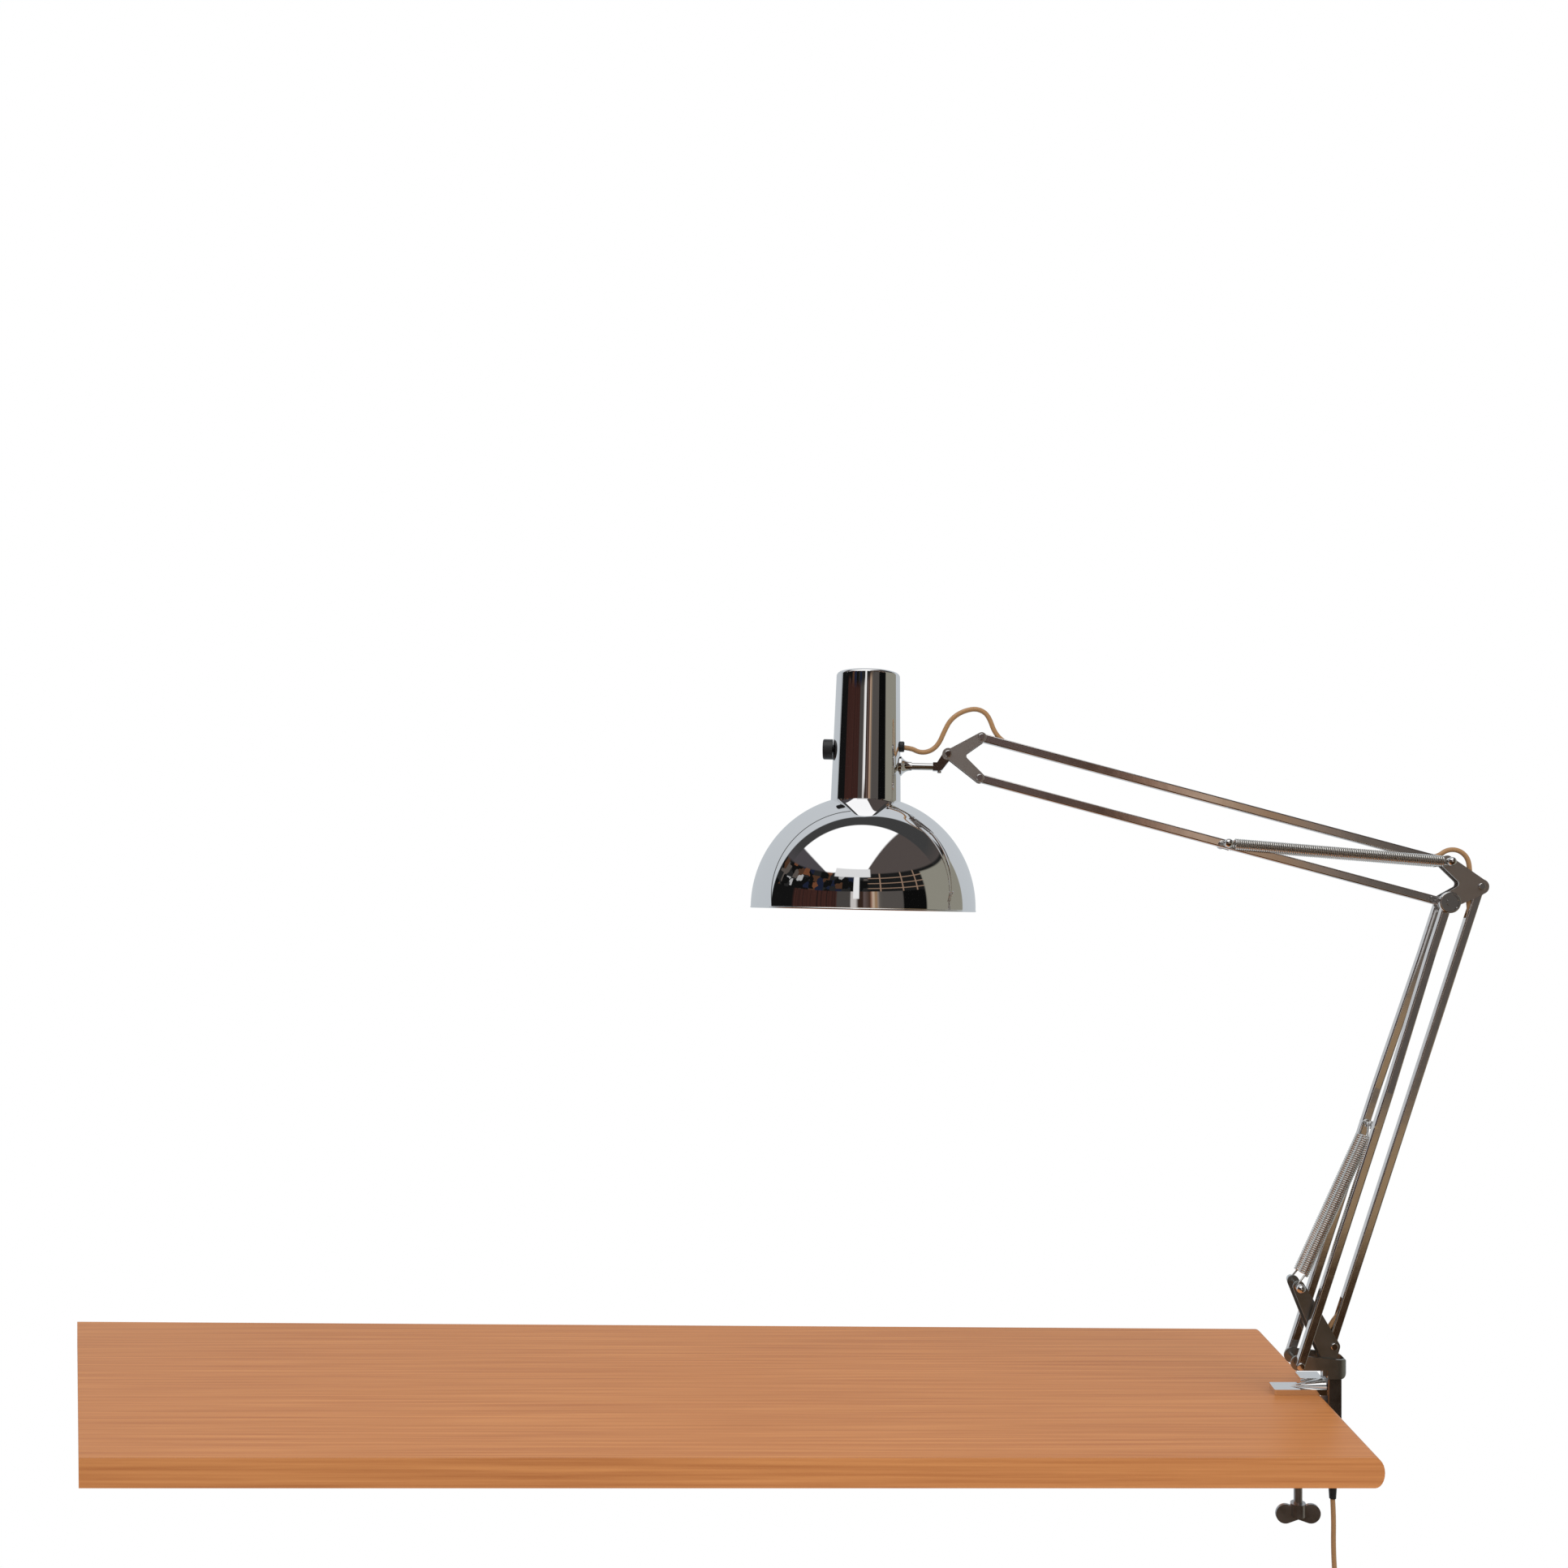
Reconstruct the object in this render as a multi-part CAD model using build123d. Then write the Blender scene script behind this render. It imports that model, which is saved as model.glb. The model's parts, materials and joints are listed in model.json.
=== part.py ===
from build123d import *
import math
import os

os.makedirs("parts", exist_ok=True)

# A balanced-arm desk lamp with a table clamp. Millimetres.
# X runs along the arms to the right, Y runs away from the viewer, Z is up.
# The origin is the centre of the upper jaw's underside, on the table top.

# Rods
ROD = 8.0
ROD_WALL = 1.0
ROD_PLUG = 5.0
ROD_CORNER = 1.4
LOWER_REACH = 450.0
LOWER_ANGLE = 72.0
UPPER_REACH = 450.0
UPPER_ANGLE = 165.0

# Clearances
RUN_FIT = 0.05
SIDE_GAP = 0.2
BODY_GAP = 0.3

# Clamp
JAW_REACH = 49.0
JAW_WIDTH = 20.0
JAW_THICK = 5.2
JAW_CORNER = 1.5
RIB_R = 7.8
RIB_START = 17.0
LEDGE_LENGTH = 21.0
LEDGE_WIDTH = 18.0
LEDGE_THICK = 3.0
LEDGE_TOP = 11.0
LEDGE_FROM = 4.0
SPINE_DEEP = 13.0
SPINE_WIDE = 24.0
SPINE_TOP = 15.0
SPINE_FOOT = -78.0
SPINE_EDGE = 1.5
SWIVEL_OFFSET = 1.5
CLAMP_ARM_THICK = 12.0
CLAMP_ARM_OVER = 13.0
PAD_R = 12.0
PAD_THICK = 5.0
PAD_TOP = -25.0
SCREW_R = 4.0
SCREW_TIP_R = 2.5
SCREW_TIP = 3.0
SCREW_LENGTH = 74.0
WING_HUB_R = 7.0
WING_HUB = 12.0
WING_SPAN = 42.0
WING_THICK = 3.0

# Base bracket
SWIVEL_R = 4.5
SWIVEL_LENGTH = 40.0
HOOP_WIDE = 24.0
HOOP_THICK = 2.0
HOOP_TOP_LEFT = 37.5
HOOP_TOP_RIGHT = 32.5
HOOP_LOBE = 7.0
HOOP_FOOT_ROUND = 7.0
HOOP_TOP_ROUND = 5.0
BLOCK_HIGH = 10.0
LOWER_FOOT_X = -3.0
LOWER_FOOT_Z = 30.5
LOWER_LINK_GAP = 37.0
LOWER_LINK_ANGLE = 23.6
LEVER_X = -2.0
LEVER_Z = 101.0
LEVER_LOBE = 5.5
LEVER_HUB_R = 9.0
LEVER_FOOT_WIDE = 12.0
LEVER_FOOT_UP = 2.5
PLATE = 1.5
NOTCH_ROUND = 3.5

# Elbow and upper arm
UPPER_LINK_GAP = 38.0
UPPER_LINK_ANGLE = 87.3
ELBOW_LOBES = (6.0, 7.0, 7.5)
ELBOW_HUB_R = 9.0
ELBOW_HUB_BACK = 4.0
ROD_SPLAY_AT = (265.0, 400.0)
KNOB_R = 10.0
KNOB_THICK = 3.5
KNOB_RIM = 2.4
KNOB_DISH = 0.6

# Pins
PIN_R = 2.5
SMALL_PIN_R = 1.8
HEAD_R = 3.4
HEAD_HIGH = 1.4
BALL_R = 4.2

# Springs
SPRING_R = 5.2
WIRE_R = 0.8
CURLS = 25
UPPER_SPRING_AT = 212.0
LOWER_SPRING_AT = 231.0
LOWER_SPRING_SIDE = 2.0
UPPER_SPRING_Y = 11.2
LEVER_SPRING_Y = 11.6
CROSS_SPRING_Y = 6.3
UPPER_HOOK = 6.5
LOWER_HOOK = 11.8

# Head bracket and head, placed from the tilt pivot
TILT_X = -30.5
TILT_Z = 22.3
BRACKET_LOBE = 4.6
BRACKET_HUB_R = 6.5
BRACKET_HUB_BACK = 5.0
LEAN = 1.2
HEAD_REACH = 76.3
STEM_DROP = 11.8
STEM_R = 3.3
STEM_START = 8.0
BLOCK_R = 3.9
TUBE_BOTTOM_R = 32.7
TUBE_TOP_R = 29.7
TUBE_LENGTH = 120.5
TUBE_UP = 74.5
TUBE_WALL = 1.2
TUBE_EDGE = 3.5
SHADE_R = 105.0
SHADE_WALL = 1.0
SHADE_CROWN_DROP = 40.2
SHADE_LIP = 1.2
SHADE_HOLE_R = 22.0
SOCKET_R = 9.2
SOCKET_LENGTH = 10.5
GROMMET_R = 5.0
GROMMET_PROUD = 3.8
GROMMET_UP = 6.4
SWITCH_UP = 2.5
SWITCH_KNOB_R = 9.5
SWITCH_KNOB_PROUD = 9.5
SWITCH_BODY_R = 9.0
SWITCH_BODY_LENGTH = 17.0
HOLDER_R = 19.0
HOLDER_LENGTH = 38.0
HOLDER_TOP_DROP = 24.0
BULB_R = 30.0
BULB_CAP_R = 13.0
BULB_LENGTH = 105.0
BULB_WALL = 0.8

# Cord
CORD_R = 2.3
CORD_SLOT = 5.8
SLEEVE_R = 4.6
SLEEVE_LENGTH = 22.0
FLOOR_Z = -230.0
COIL_TURNS = 5
COIL_OUTER = 38.0
COIL_STEP = 5.1
TIE_WIDE = 5.0
TIE_THICK = 0.8
TIE_GAP = 0.3
PLUG_TAIL = 36.0
PLUG_LENGTH = 36.0
PLUG_WIDE = 26.0
PLUG_THICK = 13.8

# Worked-out places
JAW_TIP = -JAW_REACH / 2
SPINE_LEFT = JAW_REACH / 2
SPINE_X = SPINE_LEFT + SPINE_DEEP / 2
SWIVEL_X = SPINE_X + SWIVEL_OFFSET
SHADE_DROP = SHADE_CROWN_DROP + SHADE_R
HALF = ROD / 2
PLATE_IN = HALF + SIDE_GAP
PLATE_OUT = PLATE_IN + PLATE
HOOP_IN = HOOP_WIDE / 2 - HOOP_THICK
LEVER_IN = HOOP_IN - PLATE
ROD_Y_BASE = HOOP_WIDE / 2 + BODY_GAP + HALF
ROD_Y_ELBOW = PLATE_OUT + BODY_GAP + HALF
HOOP_FLOOR = SPINE_TOP + BODY_GAP


def polar(point, length, angle):
    turn = math.radians(angle)
    return (point[0] + length * math.cos(turn), point[1] + length * math.sin(turn))


BASE_C = (LOWER_FOOT_X, LOWER_FOOT_Z)
BASE_B = polar(BASE_C, LOWER_LINK_GAP, LOWER_LINK_ANGLE)
BASE_A = (LEVER_X, LEVER_Z)
ELBOW_C = polar(BASE_C, LOWER_REACH, LOWER_ANGLE)
ELBOW_B = polar(BASE_B, LOWER_REACH, LOWER_ANGLE)
ELBOW_A = polar(ELBOW_C, UPPER_LINK_GAP, UPPER_LINK_ANGLE)
HEAD_C = polar(ELBOW_C, UPPER_REACH, UPPER_ANGLE)
HEAD_A = polar(ELBOW_A, UPPER_REACH, UPPER_ANGLE)
TILT = (HEAD_C[0] + TILT_X + 1.0, HEAD_C[1] + TILT_Z)

parts = {}


# Small makers
def side_plane(y):
    """Sketches are drawn as X and Z, and extrude towards the viewer."""
    return Plane(origin=(0, y, 0), x_dir=(1, 0, 0), z_dir=(0, -1, 0))


def slab(sketch, low, high):
    """A flat piece of that X-Z outline, from Y low to Y high."""
    return extrude(side_plane(high) * sketch, amount=high - low)


def disc_at(point, radius):
    return Pos(point[0], point[1]) * Circle(radius)


def hull(*circles):
    """The outline that a belt round these (point, radius) circles has."""
    edges = []
    for point, radius in circles:
        edges += disc_at(point, radius).edges()
    return make_hull(edges)


def round_notch(outline, hub, hub_r):
    """Rounds the inner corner where the two arms of a plate meet beside its hub."""
    outside = [v for v in outline.vertices() if math.dist((v.X, v.Y), hub) > hub_r + RUN_FIT]
    corner = min(outside, key=lambda v: math.dist((v.X, v.Y), hub))
    return fillet(corner, NOTCH_ROUND)


def pin(point, radius, low, high):
    return slab(disc_at(point, radius), low, high)


def headed_pin(point, radius, half, head_r=HEAD_R):
    """A pin across Y with a low domed head at each end."""
    body = pin(point, radius, -half, half)
    for side in (-1, 1):
        head = Pos(point[0], side * (half + HEAD_HIGH / 2), point[1]) * Rot(90, 0, 0) * Cylinder(head_r, HEAD_HIGH)
        outer = head.faces().sort_by(Axis.Y)[0 if side < 0 else -1]
        body += fillet(outer.edges(), HEAD_HIGH * 0.6)
    return body


def ball_pin(point, radius, half, ball_r=BALL_R):
    """A pin across Y with a ball at each end."""
    body = pin(point, radius, -half, half)
    for side in (-1, 1):
        body += Pos(point[0], side * half, point[1]) * Sphere(ball_r)
    return body


def along(point, angle, y=0.0):
    """The frame of a rod: X along it, Y to its left in the arm plane, Z to the viewer."""
    turn = math.radians(angle)
    return Location(
        Plane(origin=(point[0], y, point[1]), x_dir=(math.cos(turn), 0, math.sin(turn)), z_dir=(0, -1, 0))
    )


def bore_hole(s, radius, n=0.0):
    return Pos(s, n, 0) * Cylinder(radius, 4 * SPINE_WIDE)


def straight_rod(reach):
    """A square tube with rounded, plugged ends, in its own frame."""
    body = extrude(Pos(reach / 2, 0) * SlotCenterToCenter(reach, ROD), amount=HALF, both=True)
    body = fillet(body.edges().filter_by(Axis.Z, reverse=True), ROD_CORNER)
    bore = ROD - 2 * ROD_WALL
    return body - Pos(reach / 2, 0, 0) * Box(reach - 2 * ROD_PLUG, bore, bore)


def splayed_rod(reach, side):
    """A square tube that steps in towards the arm plane on its way up, in its own frame."""
    start, end = ROD_SPLAY_AT
    step = side * (ROD_Y_BASE - ROD_Y_ELBOW)

    def strip(half, low, high):
        line = [(low, 0), (start, 0), (end, step), (high, step)]
        edge = [(s, d - half) for s, d in line] + [(s, d + half) for s, d in reversed(line)]
        face = make_face(Polyline(*edge, close=True))
        return extrude(Plane(origin=(0, 0, 0), x_dir=(1, 0, 0), z_dir=(0, -1, 0)) * face, amount=half, both=True)

    tall = 2 * abs(step) + 2 * ROD
    ends = extrude(Pos(reach / 2, 0) * SlotCenterToCenter(reach, ROD), amount=tall, both=True)
    outer = strip(HALF, -ROD, reach + ROD)
    corners = outer.edges().filter_by(lambda e: e.length > ROD)
    outer = fillet(corners, ROD_CORNER)
    return (outer & ends) - strip(HALF - ROD_WALL, ROD, reach - ROD)


def wall_slot(low, high, side):
    """A cord slot through one wall of a rod, from low to high along it."""
    return Pos((low + high) / 2, side * HALF, 0) * Box(high - low, 3 * ROD_WALL, CORD_SLOT)


def cord_tube(name, points, radius=CORD_R):
    """A round cord along straight runs and the largest arcs that fit them."""
    spots = [Vector(*p) for p in points]
    radii = []
    for before, here, after in zip(spots, spots[1:], spots[2:]):
        into, out = here - before, after - here
        half_turn = math.radians(into.get_angle(out)) / 2
        radii.append(0.45 * min(into.length, out.length) / math.tan(half_turn))
    path = FilletPolyline(*spots, radius=radii)
    tube = sweep(Plane(origin=spots[0], z_dir=spots[1] - spots[0]) * Circle(radius), path=path)
    share = tube.volume / (math.pi * radius**2 * path.length)
    print(name, "length", round(path.length, 1), "volume share", round(share, 4))
    print(name, "radii", [round(r, 1) for r in radii])
    return tube


def biarc(start, start_way, end, end_way):
    """Two tangent arcs from start to end with those directions."""
    both = start_way + end_way
    across = end - start
    a = both.dot(both) - 4
    b = -2 * across.dot(both)
    c = across.dot(across)
    reach = (-b - math.sqrt(b * b - 4 * a * c)) / (2 * a)
    joint = (start + start_way * reach + end - end_way * reach) / 2
    first = Edge.make_tangent_arc(start, start_way, joint)
    return [first, Edge.make_tangent_arc(joint, first % 1, end)]


def least_gap(edges, radius, skip):
    """The least clear space between far parts of one tube, measured on points."""
    per_edge = 6
    spots = [e @ (k / per_edge) for e in edges for k in range(per_edge)]
    best = 1e9
    for i, here in enumerate(spots):
        for there in spots[i + skip * per_edge::2]:
            best = min(best, (there - here).length)
    return best - 2 * radius


def wound_tube(name, edges, radius, skip):
    tube = sweep(Plane(origin=edges[0] @ 0, z_dir=edges[0] % 0) * Circle(radius), path=Wire(edges))
    length = sum(e.length for e in edges)
    share = tube.volume / (math.pi * radius**2 * length)
    gap = least_gap(edges, radius, skip)
    print(name, "length", round(length, 1), "volume share", round(share, 4), "least gap", round(gap, 2))
    return tube


def spring(name, start, end, hook_r, reach):
    """A tension spring from pin to pin: an eye, the curls, and an eye."""
    line = end - start
    way = line.normalized()
    flat_way = Vector(way.X, 0, way.Z).normalized()
    up = Vector(-flat_way.Z, 0, flat_way.X)
    eye = hook_r + WIRE_R + BODY_GAP
    side = way.cross(up).normalized()
    lift = side.cross(way)
    body = line.length - 2 * reach
    first = start + way * reach

    def on_helix(half_turns):
        turn = math.pi * half_turns
        along_way = body * half_turns / (2 * CURLS)
        mid_r = SPRING_R - WIRE_R
        spot = first + way * along_way + lift * (mid_r * math.cos(turn)) + side * (mid_r * math.sin(turn))
        slope = body / (2 * CURLS) / math.pi
        tangent = way * slope + lift * (-mid_r * math.sin(turn)) + side * (mid_r * math.cos(turn))
        return spot, tangent.normalized()

    def eye_edges(centre, outward):
        """From the free end round the pin to the point that heads along outward."""
        top = centre + up * eye
        back = centre - outward * eye
        low = centre - up * eye
        front = centre + outward * eye
        diagonal = eye / math.sqrt(2)
        tail = front + up * (2 * WIRE_R)
        quarter = [
            Edge.make_line(tail, front),
            Edge.make_three_point_arc(front, centre + (outward - up) * diagonal, low),
            Edge.make_three_point_arc(low, centre - (outward + up) * diagonal, back),
            Edge.make_three_point_arc(back, centre + (up - outward) * diagonal, top),
        ]
        return quarter

    edges = eye_edges(start, flat_way)
    spot, tangent = on_helix(0)
    edges += biarc(edges[-1] @ 1, flat_way, spot, tangent)
    for k in range(2 * CURLS):
        after, after_tangent = on_helix(k + 1)
        edges += biarc(spot, tangent, after, after_tangent)
        spot, tangent = after, after_tangent
    far = [e.reversed() for e in reversed(eye_edges(end, flat_way * -1))]
    edges += biarc(spot, tangent, far[0] @ 0, flat_way)
    return wound_tube(name, edges + far, WIRE_R, 5)


# Clamp frame, upper jaw and clamp screw
def make_clamp():
    spine_high = SPINE_TOP - SPINE_FOOT
    spine = Pos(SPINE_X, 0, SPINE_FOOT + spine_high / 2) * Box(SPINE_DEEP, SPINE_WIDE, spine_high)
    spine = fillet(spine.edges().filter_by(Axis.Z), SPINE_EDGE)
    arm_length = SPINE_LEFT + CLAMP_ARM_OVER
    arm = Pos(SPINE_LEFT - arm_length / 2, 0, SPINE_FOOT + CLAMP_ARM_THICK / 2) * Box(
        arm_length, SPINE_WIDE, CLAMP_ARM_THICK
    )
    frame = spine + arm
    frame -= Pos(0, 0, SPINE_FOOT + CLAMP_ARM_THICK / 2) * Cylinder(SCREW_R + RUN_FIT, 2 * CLAMP_ARM_THICK)
    pin_hole = SWIVEL_LENGTH + 1.0
    frame -= Pos(SWIVEL_X, 0, SPINE_TOP - pin_hole / 2) * Cylinder(SWIVEL_R + RUN_FIT, pin_hole)
    frame -= Pos(SWIVEL_X, 0, SPINE_FOOT + spine_high / 2) * Cylinder(CORD_R + BODY_GAP, 2 * spine_high)
    parts["clamp_frame"] = frame

    tongue = Pos(0, 0, JAW_THICK / 2) * Box(JAW_REACH, JAW_WIDTH, JAW_THICK)
    tip = tongue.edges().filter_by(Axis.Z).sort_by(Axis.X)[:2]
    tongue = fillet(tip, JAW_CORNER)
    rib_from = JAW_TIP + RIB_START
    rib_length = SPINE_LEFT - rib_from
    rib = Pos(rib_from + rib_length / 2, 0, JAW_THICK) * Rot(0, 90, 0) * Cone(0.5, RIB_R, rib_length)
    tongue += rib & Pos(0, 0, 2 * RIB_R) * Box(2 * JAW_REACH, JAW_WIDTH, 4 * RIB_R)
    tongue += Pos(SPINE_LEFT - LEDGE_LENGTH / 2, LEDGE_FROM + LEDGE_WIDTH / 2, LEDGE_TOP - LEDGE_THICK / 2) * Box(
        LEDGE_LENGTH, LEDGE_WIDTH, LEDGE_THICK
    )
    parts["upper_jaw"] = tongue

    pad = Pos(0, 0, PAD_TOP - PAD_THICK / 2) * Cylinder(PAD_R, PAD_THICK)
    pad = chamfer(pad.faces().sort_by(Axis.Z)[0].edges(), 1.2)
    pad -= Pos(0, 0, PAD_TOP - PAD_THICK + SCREW_TIP / 2) * Cylinder(SCREW_TIP_R + RUN_FIT, SCREW_TIP + BODY_GAP)
    parts["pressure_pad"] = pad

    screw_top = PAD_TOP - PAD_THICK - BODY_GAP
    spindle = Pos(0, 0, screw_top - SCREW_LENGTH / 2) * Cylinder(SCREW_R, SCREW_LENGTH)
    spindle += Pos(0, 0, screw_top + SCREW_TIP / 2) * Cylinder(SCREW_TIP_R, SCREW_TIP)
    parts["clamp_spindle"] = spindle

    hub_top = screw_top - SCREW_LENGTH
    hub = Pos(0, 0, hub_top - WING_HUB / 2) * Cylinder(WING_HUB_R, WING_HUB)
    wing_r = WING_HUB * 0.75
    wing_x = WING_SPAN / 2 - wing_r
    wing_z = hub_top - wing_r - 1.0
    for side in (-1, 1):
        wing = hull(((0, wing_z), WING_HUB / 2 - 1), ((side * wing_x, wing_z), wing_r))
        hub += slab(wing, -WING_THICK / 2, WING_THICK / 2)
    parts["wing_handle"] = hub


# Swivelling base bracket
def make_base():
    plan = Pos((BASE_C[0] - HOOP_LOBE + SWIVEL_X) / 2, 0) * Rectangle(
        SWIVEL_X - BASE_C[0] + HOOP_LOBE, HOOP_WIDE
    ) + Pos(SWIVEL_X, 0) * Circle(HOOP_WIDE / 2)
    open_from = BASE_C[0] - 2 * HOOP_LOBE
    plan -= Pos((open_from + SWIVEL_X) / 2, 0) * Rectangle(SWIVEL_X - open_from, 2 * HOOP_IN)
    plan -= Pos(SWIVEL_X, 0) * Circle(HOOP_IN)
    bent = extrude(Pos(0, 0, HOOP_FLOOR) * plan, amount=HOOP_TOP_LEFT)
    back = SWIVEL_X + HOOP_WIDE / 2
    low = BASE_C[1] - HOOP_LOBE
    outline = [(SPINE_LEFT, low), (back, low), (back, HOOP_TOP_RIGHT)]
    lobe = disc_at(BASE_C, HOOP_LOBE).edges()
    side = make_hull(list(lobe) + list(Polyline(*outline).edges()))
    side += Pos((SPINE_LEFT + back) / 2, (HOOP_FLOOR + low) / 2) * Rectangle(back - SPINE_LEFT, low - HOOP_FLOOR)
    side = fillet(side.vertices().group_by(Axis.X)[-1].sort_by(Axis.Y)[0], HOOP_FOOT_ROUND)
    side = fillet(side.vertices().sort_by(lambda v: v.X + v.Y)[-1], HOOP_TOP_ROUND)
    hoop = bent & slab(side, -HOOP_WIDE, HOOP_WIDE)
    parts["base_hoop"] = hoop - pin(BASE_C, PIN_R, -HOOP_WIDE, HOOP_WIDE)

    hub = (BASE_B[0] - 4.9, BASE_B[1] - 4.3)
    outline = hull((BASE_A, LEVER_LOBE), (hub, LEVER_HUB_R), (BASE_B, LEVER_LOBE))
    foot_low = HOOP_FLOOR + LEVER_FOOT_UP
    foot = Pos(SWIVEL_X - LEVER_FOOT_WIDE / 2, (foot_low + hub[1]) / 2) * Rectangle(
        LEVER_FOOT_WIDE, hub[1] - foot_low
    )
    outline += foot
    outline -= disc_at(BASE_A, SMALL_PIN_R) + disc_at(BASE_B, PIN_R)
    parts["front_lever_plate"] = slab(outline, -HOOP_IN, -LEVER_IN)
    parts["rear_lever_plate"] = slab(outline, LEVER_IN, HOOP_IN)

    block = Pos(SWIVEL_X, 0, HOOP_FLOOR + BLOCK_HIGH / 2) * Cylinder(HOOP_IN - RUN_FIT, BLOCK_HIGH)
    block &= Pos(SWIVEL_X, 0, HOOP_FLOOR) * Box(4 * HOOP_IN, 2 * (LEVER_IN - RUN_FIT), 4 * BLOCK_HIGH)
    block += Pos(SWIVEL_X, 0, HOOP_FLOOR - SWIVEL_LENGTH / 2) * Cylinder(SWIVEL_R, SWIVEL_LENGTH)
    bore_r = CORD_R + 0.5
    block -= Pos(SWIVEL_X, 0, HOOP_FLOOR) * Cylinder(bore_r, 4 * SWIVEL_LENGTH)
    mouth = bore_r + 3.0
    mouth_z = HOOP_FLOOR + BLOCK_HIGH
    block -= Pos(SWIVEL_X, 0, mouth_z - 2.5) * Cone(bore_r, mouth, 5.0)
    parts["swivel_pin"] = block

    parts["base_axle"] = headed_pin(BASE_C, PIN_R, ROD_Y_BASE + HALF + BODY_GAP, HEAD_R)
    parts["base_link_pin"] = headed_pin(BASE_B, PIN_R, HOOP_IN + RUN_FIT, HEAD_R)
    sleeve = disc_at(BASE_B, HALF) - disc_at(BASE_B, PIN_R + RUN_FIT)
    parts["link_spacers"] = Compound(
        children=[slab(sleeve, -LEVER_IN, -PLATE_IN), slab(sleeve, PLATE_IN, LEVER_IN)]
    )
    parts["lever_pin"] = ball_pin(BASE_A, SMALL_PIN_R, LEVER_SPRING_Y + WIRE_R + BALL_R)


# Lower arm and lower link
def make_lower_arm():
    for name, side in (("front_lower_rod", -1), ("rear_lower_rod", 1)):
        body = splayed_rod(LOWER_REACH, side)
        body -= bore_hole(0, PIN_R + RUN_FIT)
        body -= bore_hole(LOWER_REACH, PIN_R + RUN_FIT)
        body -= bore_hole(LOWER_SPRING_AT, SMALL_PIN_R, LOWER_SPRING_SIDE)
        parts[name] = along(BASE_C, LOWER_ANGLE, side * ROD_Y_BASE) * body
    cross = lower_cross()
    parts["lower_cross_pin"] = pin(cross, SMALL_PIN_R, -ROD_Y_BASE - HALF, ROD_Y_BASE + HALF)

    link = straight_rod(LOWER_REACH)
    link -= bore_hole(0, PIN_R + RUN_FIT) + bore_hole(LOWER_REACH, PIN_R + RUN_FIT)
    link -= wall_slot(*LOWER_SLOT_FOOT, 1) + wall_slot(*LOWER_SLOT_TOP, 1)
    parts["lower_link_rod"] = along(BASE_B, LOWER_ANGLE) * link


def lower_cross():
    spot = polar(BASE_C, LOWER_SPRING_AT, LOWER_ANGLE)
    return polar(spot, LOWER_SPRING_SIDE, LOWER_ANGLE + 90)


# Elbow
def make_elbow():
    hub = (ELBOW_B[0] - ELBOW_HUB_BACK, ELBOW_B[1])
    lobe_a, lobe_b, lobe_c = ELBOW_LOBES
    outline = hull((ELBOW_A, lobe_a), (hub, ELBOW_HUB_R)) + hull((ELBOW_C, lobe_c), (hub, ELBOW_HUB_R))
    outline = round_notch(outline, hub, ELBOW_HUB_R)
    outline += disc_at(ELBOW_B, lobe_b)
    outline -= disc_at(ELBOW_A, SMALL_PIN_R) + disc_at(ELBOW_B, PIN_R) + disc_at(ELBOW_C, PIN_R)
    parts["front_elbow_plate"] = slab(outline, -PLATE_OUT, -PLATE_IN)
    parts["rear_elbow_plate"] = slab(outline, PLATE_IN, PLATE_OUT)

    rod_out = ROD_Y_ELBOW + HALF + BODY_GAP
    axle = pin(ELBOW_C, PIN_R, -rod_out - KNOB_THICK + 0.5, rod_out)
    axle += pin(ELBOW_C, HEAD_R, rod_out, rod_out + HEAD_HIGH)
    parts["elbow_axle"] = axle
    knob = pin(ELBOW_C, KNOB_R, -rod_out - KNOB_THICK, -rod_out)
    knob = fillet(knob.faces().sort_by(Axis.Y)[0].edges(), KNOB_RIM / 2)
    dish = pin(ELBOW_C, KNOB_R - KNOB_RIM, -rod_out - KNOB_THICK, -rod_out - KNOB_THICK + KNOB_DISH)
    knob -= dish - pin(ELBOW_C, HEAD_R, -rod_out - KNOB_THICK, -rod_out)
    parts["elbow_knob"] = knob - pin(ELBOW_C, PIN_R + RUN_FIT, -rod_out - KNOB_THICK + 0.4, rod_out)
    parts["elbow_link_pin"] = headed_pin(ELBOW_B, PIN_R, PLATE_OUT + RUN_FIT, HEAD_R)
    parts["elbow_spring_pin"] = ball_pin(ELBOW_A, SMALL_PIN_R, UPPER_SPRING_Y + WIRE_R + BALL_R)


# Upper arm and upper link
def make_upper_arm():
    body = straight_rod(UPPER_REACH)
    body -= bore_hole(0, PIN_R + RUN_FIT) + bore_hole(UPPER_REACH, PIN_R + RUN_FIT)
    body -= bore_hole(UPPER_SPRING_AT, SMALL_PIN_R)
    parts["upper_rod"] = along(ELBOW_C, UPPER_ANGLE) * body
    cross = polar(ELBOW_C, UPPER_SPRING_AT, UPPER_ANGLE)
    parts["upper_cross_pin"] = ball_pin(cross, SMALL_PIN_R, UPPER_SPRING_Y + WIRE_R + BALL_R)

    link = straight_rod(UPPER_REACH)
    link -= bore_hole(0, SMALL_PIN_R + RUN_FIT) + bore_hole(UPPER_REACH, PIN_R + RUN_FIT)
    link -= wall_slot(*UPPER_SLOT_ELBOW, -1) + wall_slot(*UPPER_SLOT_HEAD, -1)
    parts["upper_link_rod"] = along(ELBOW_A, UPPER_ANGLE) * link


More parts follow.
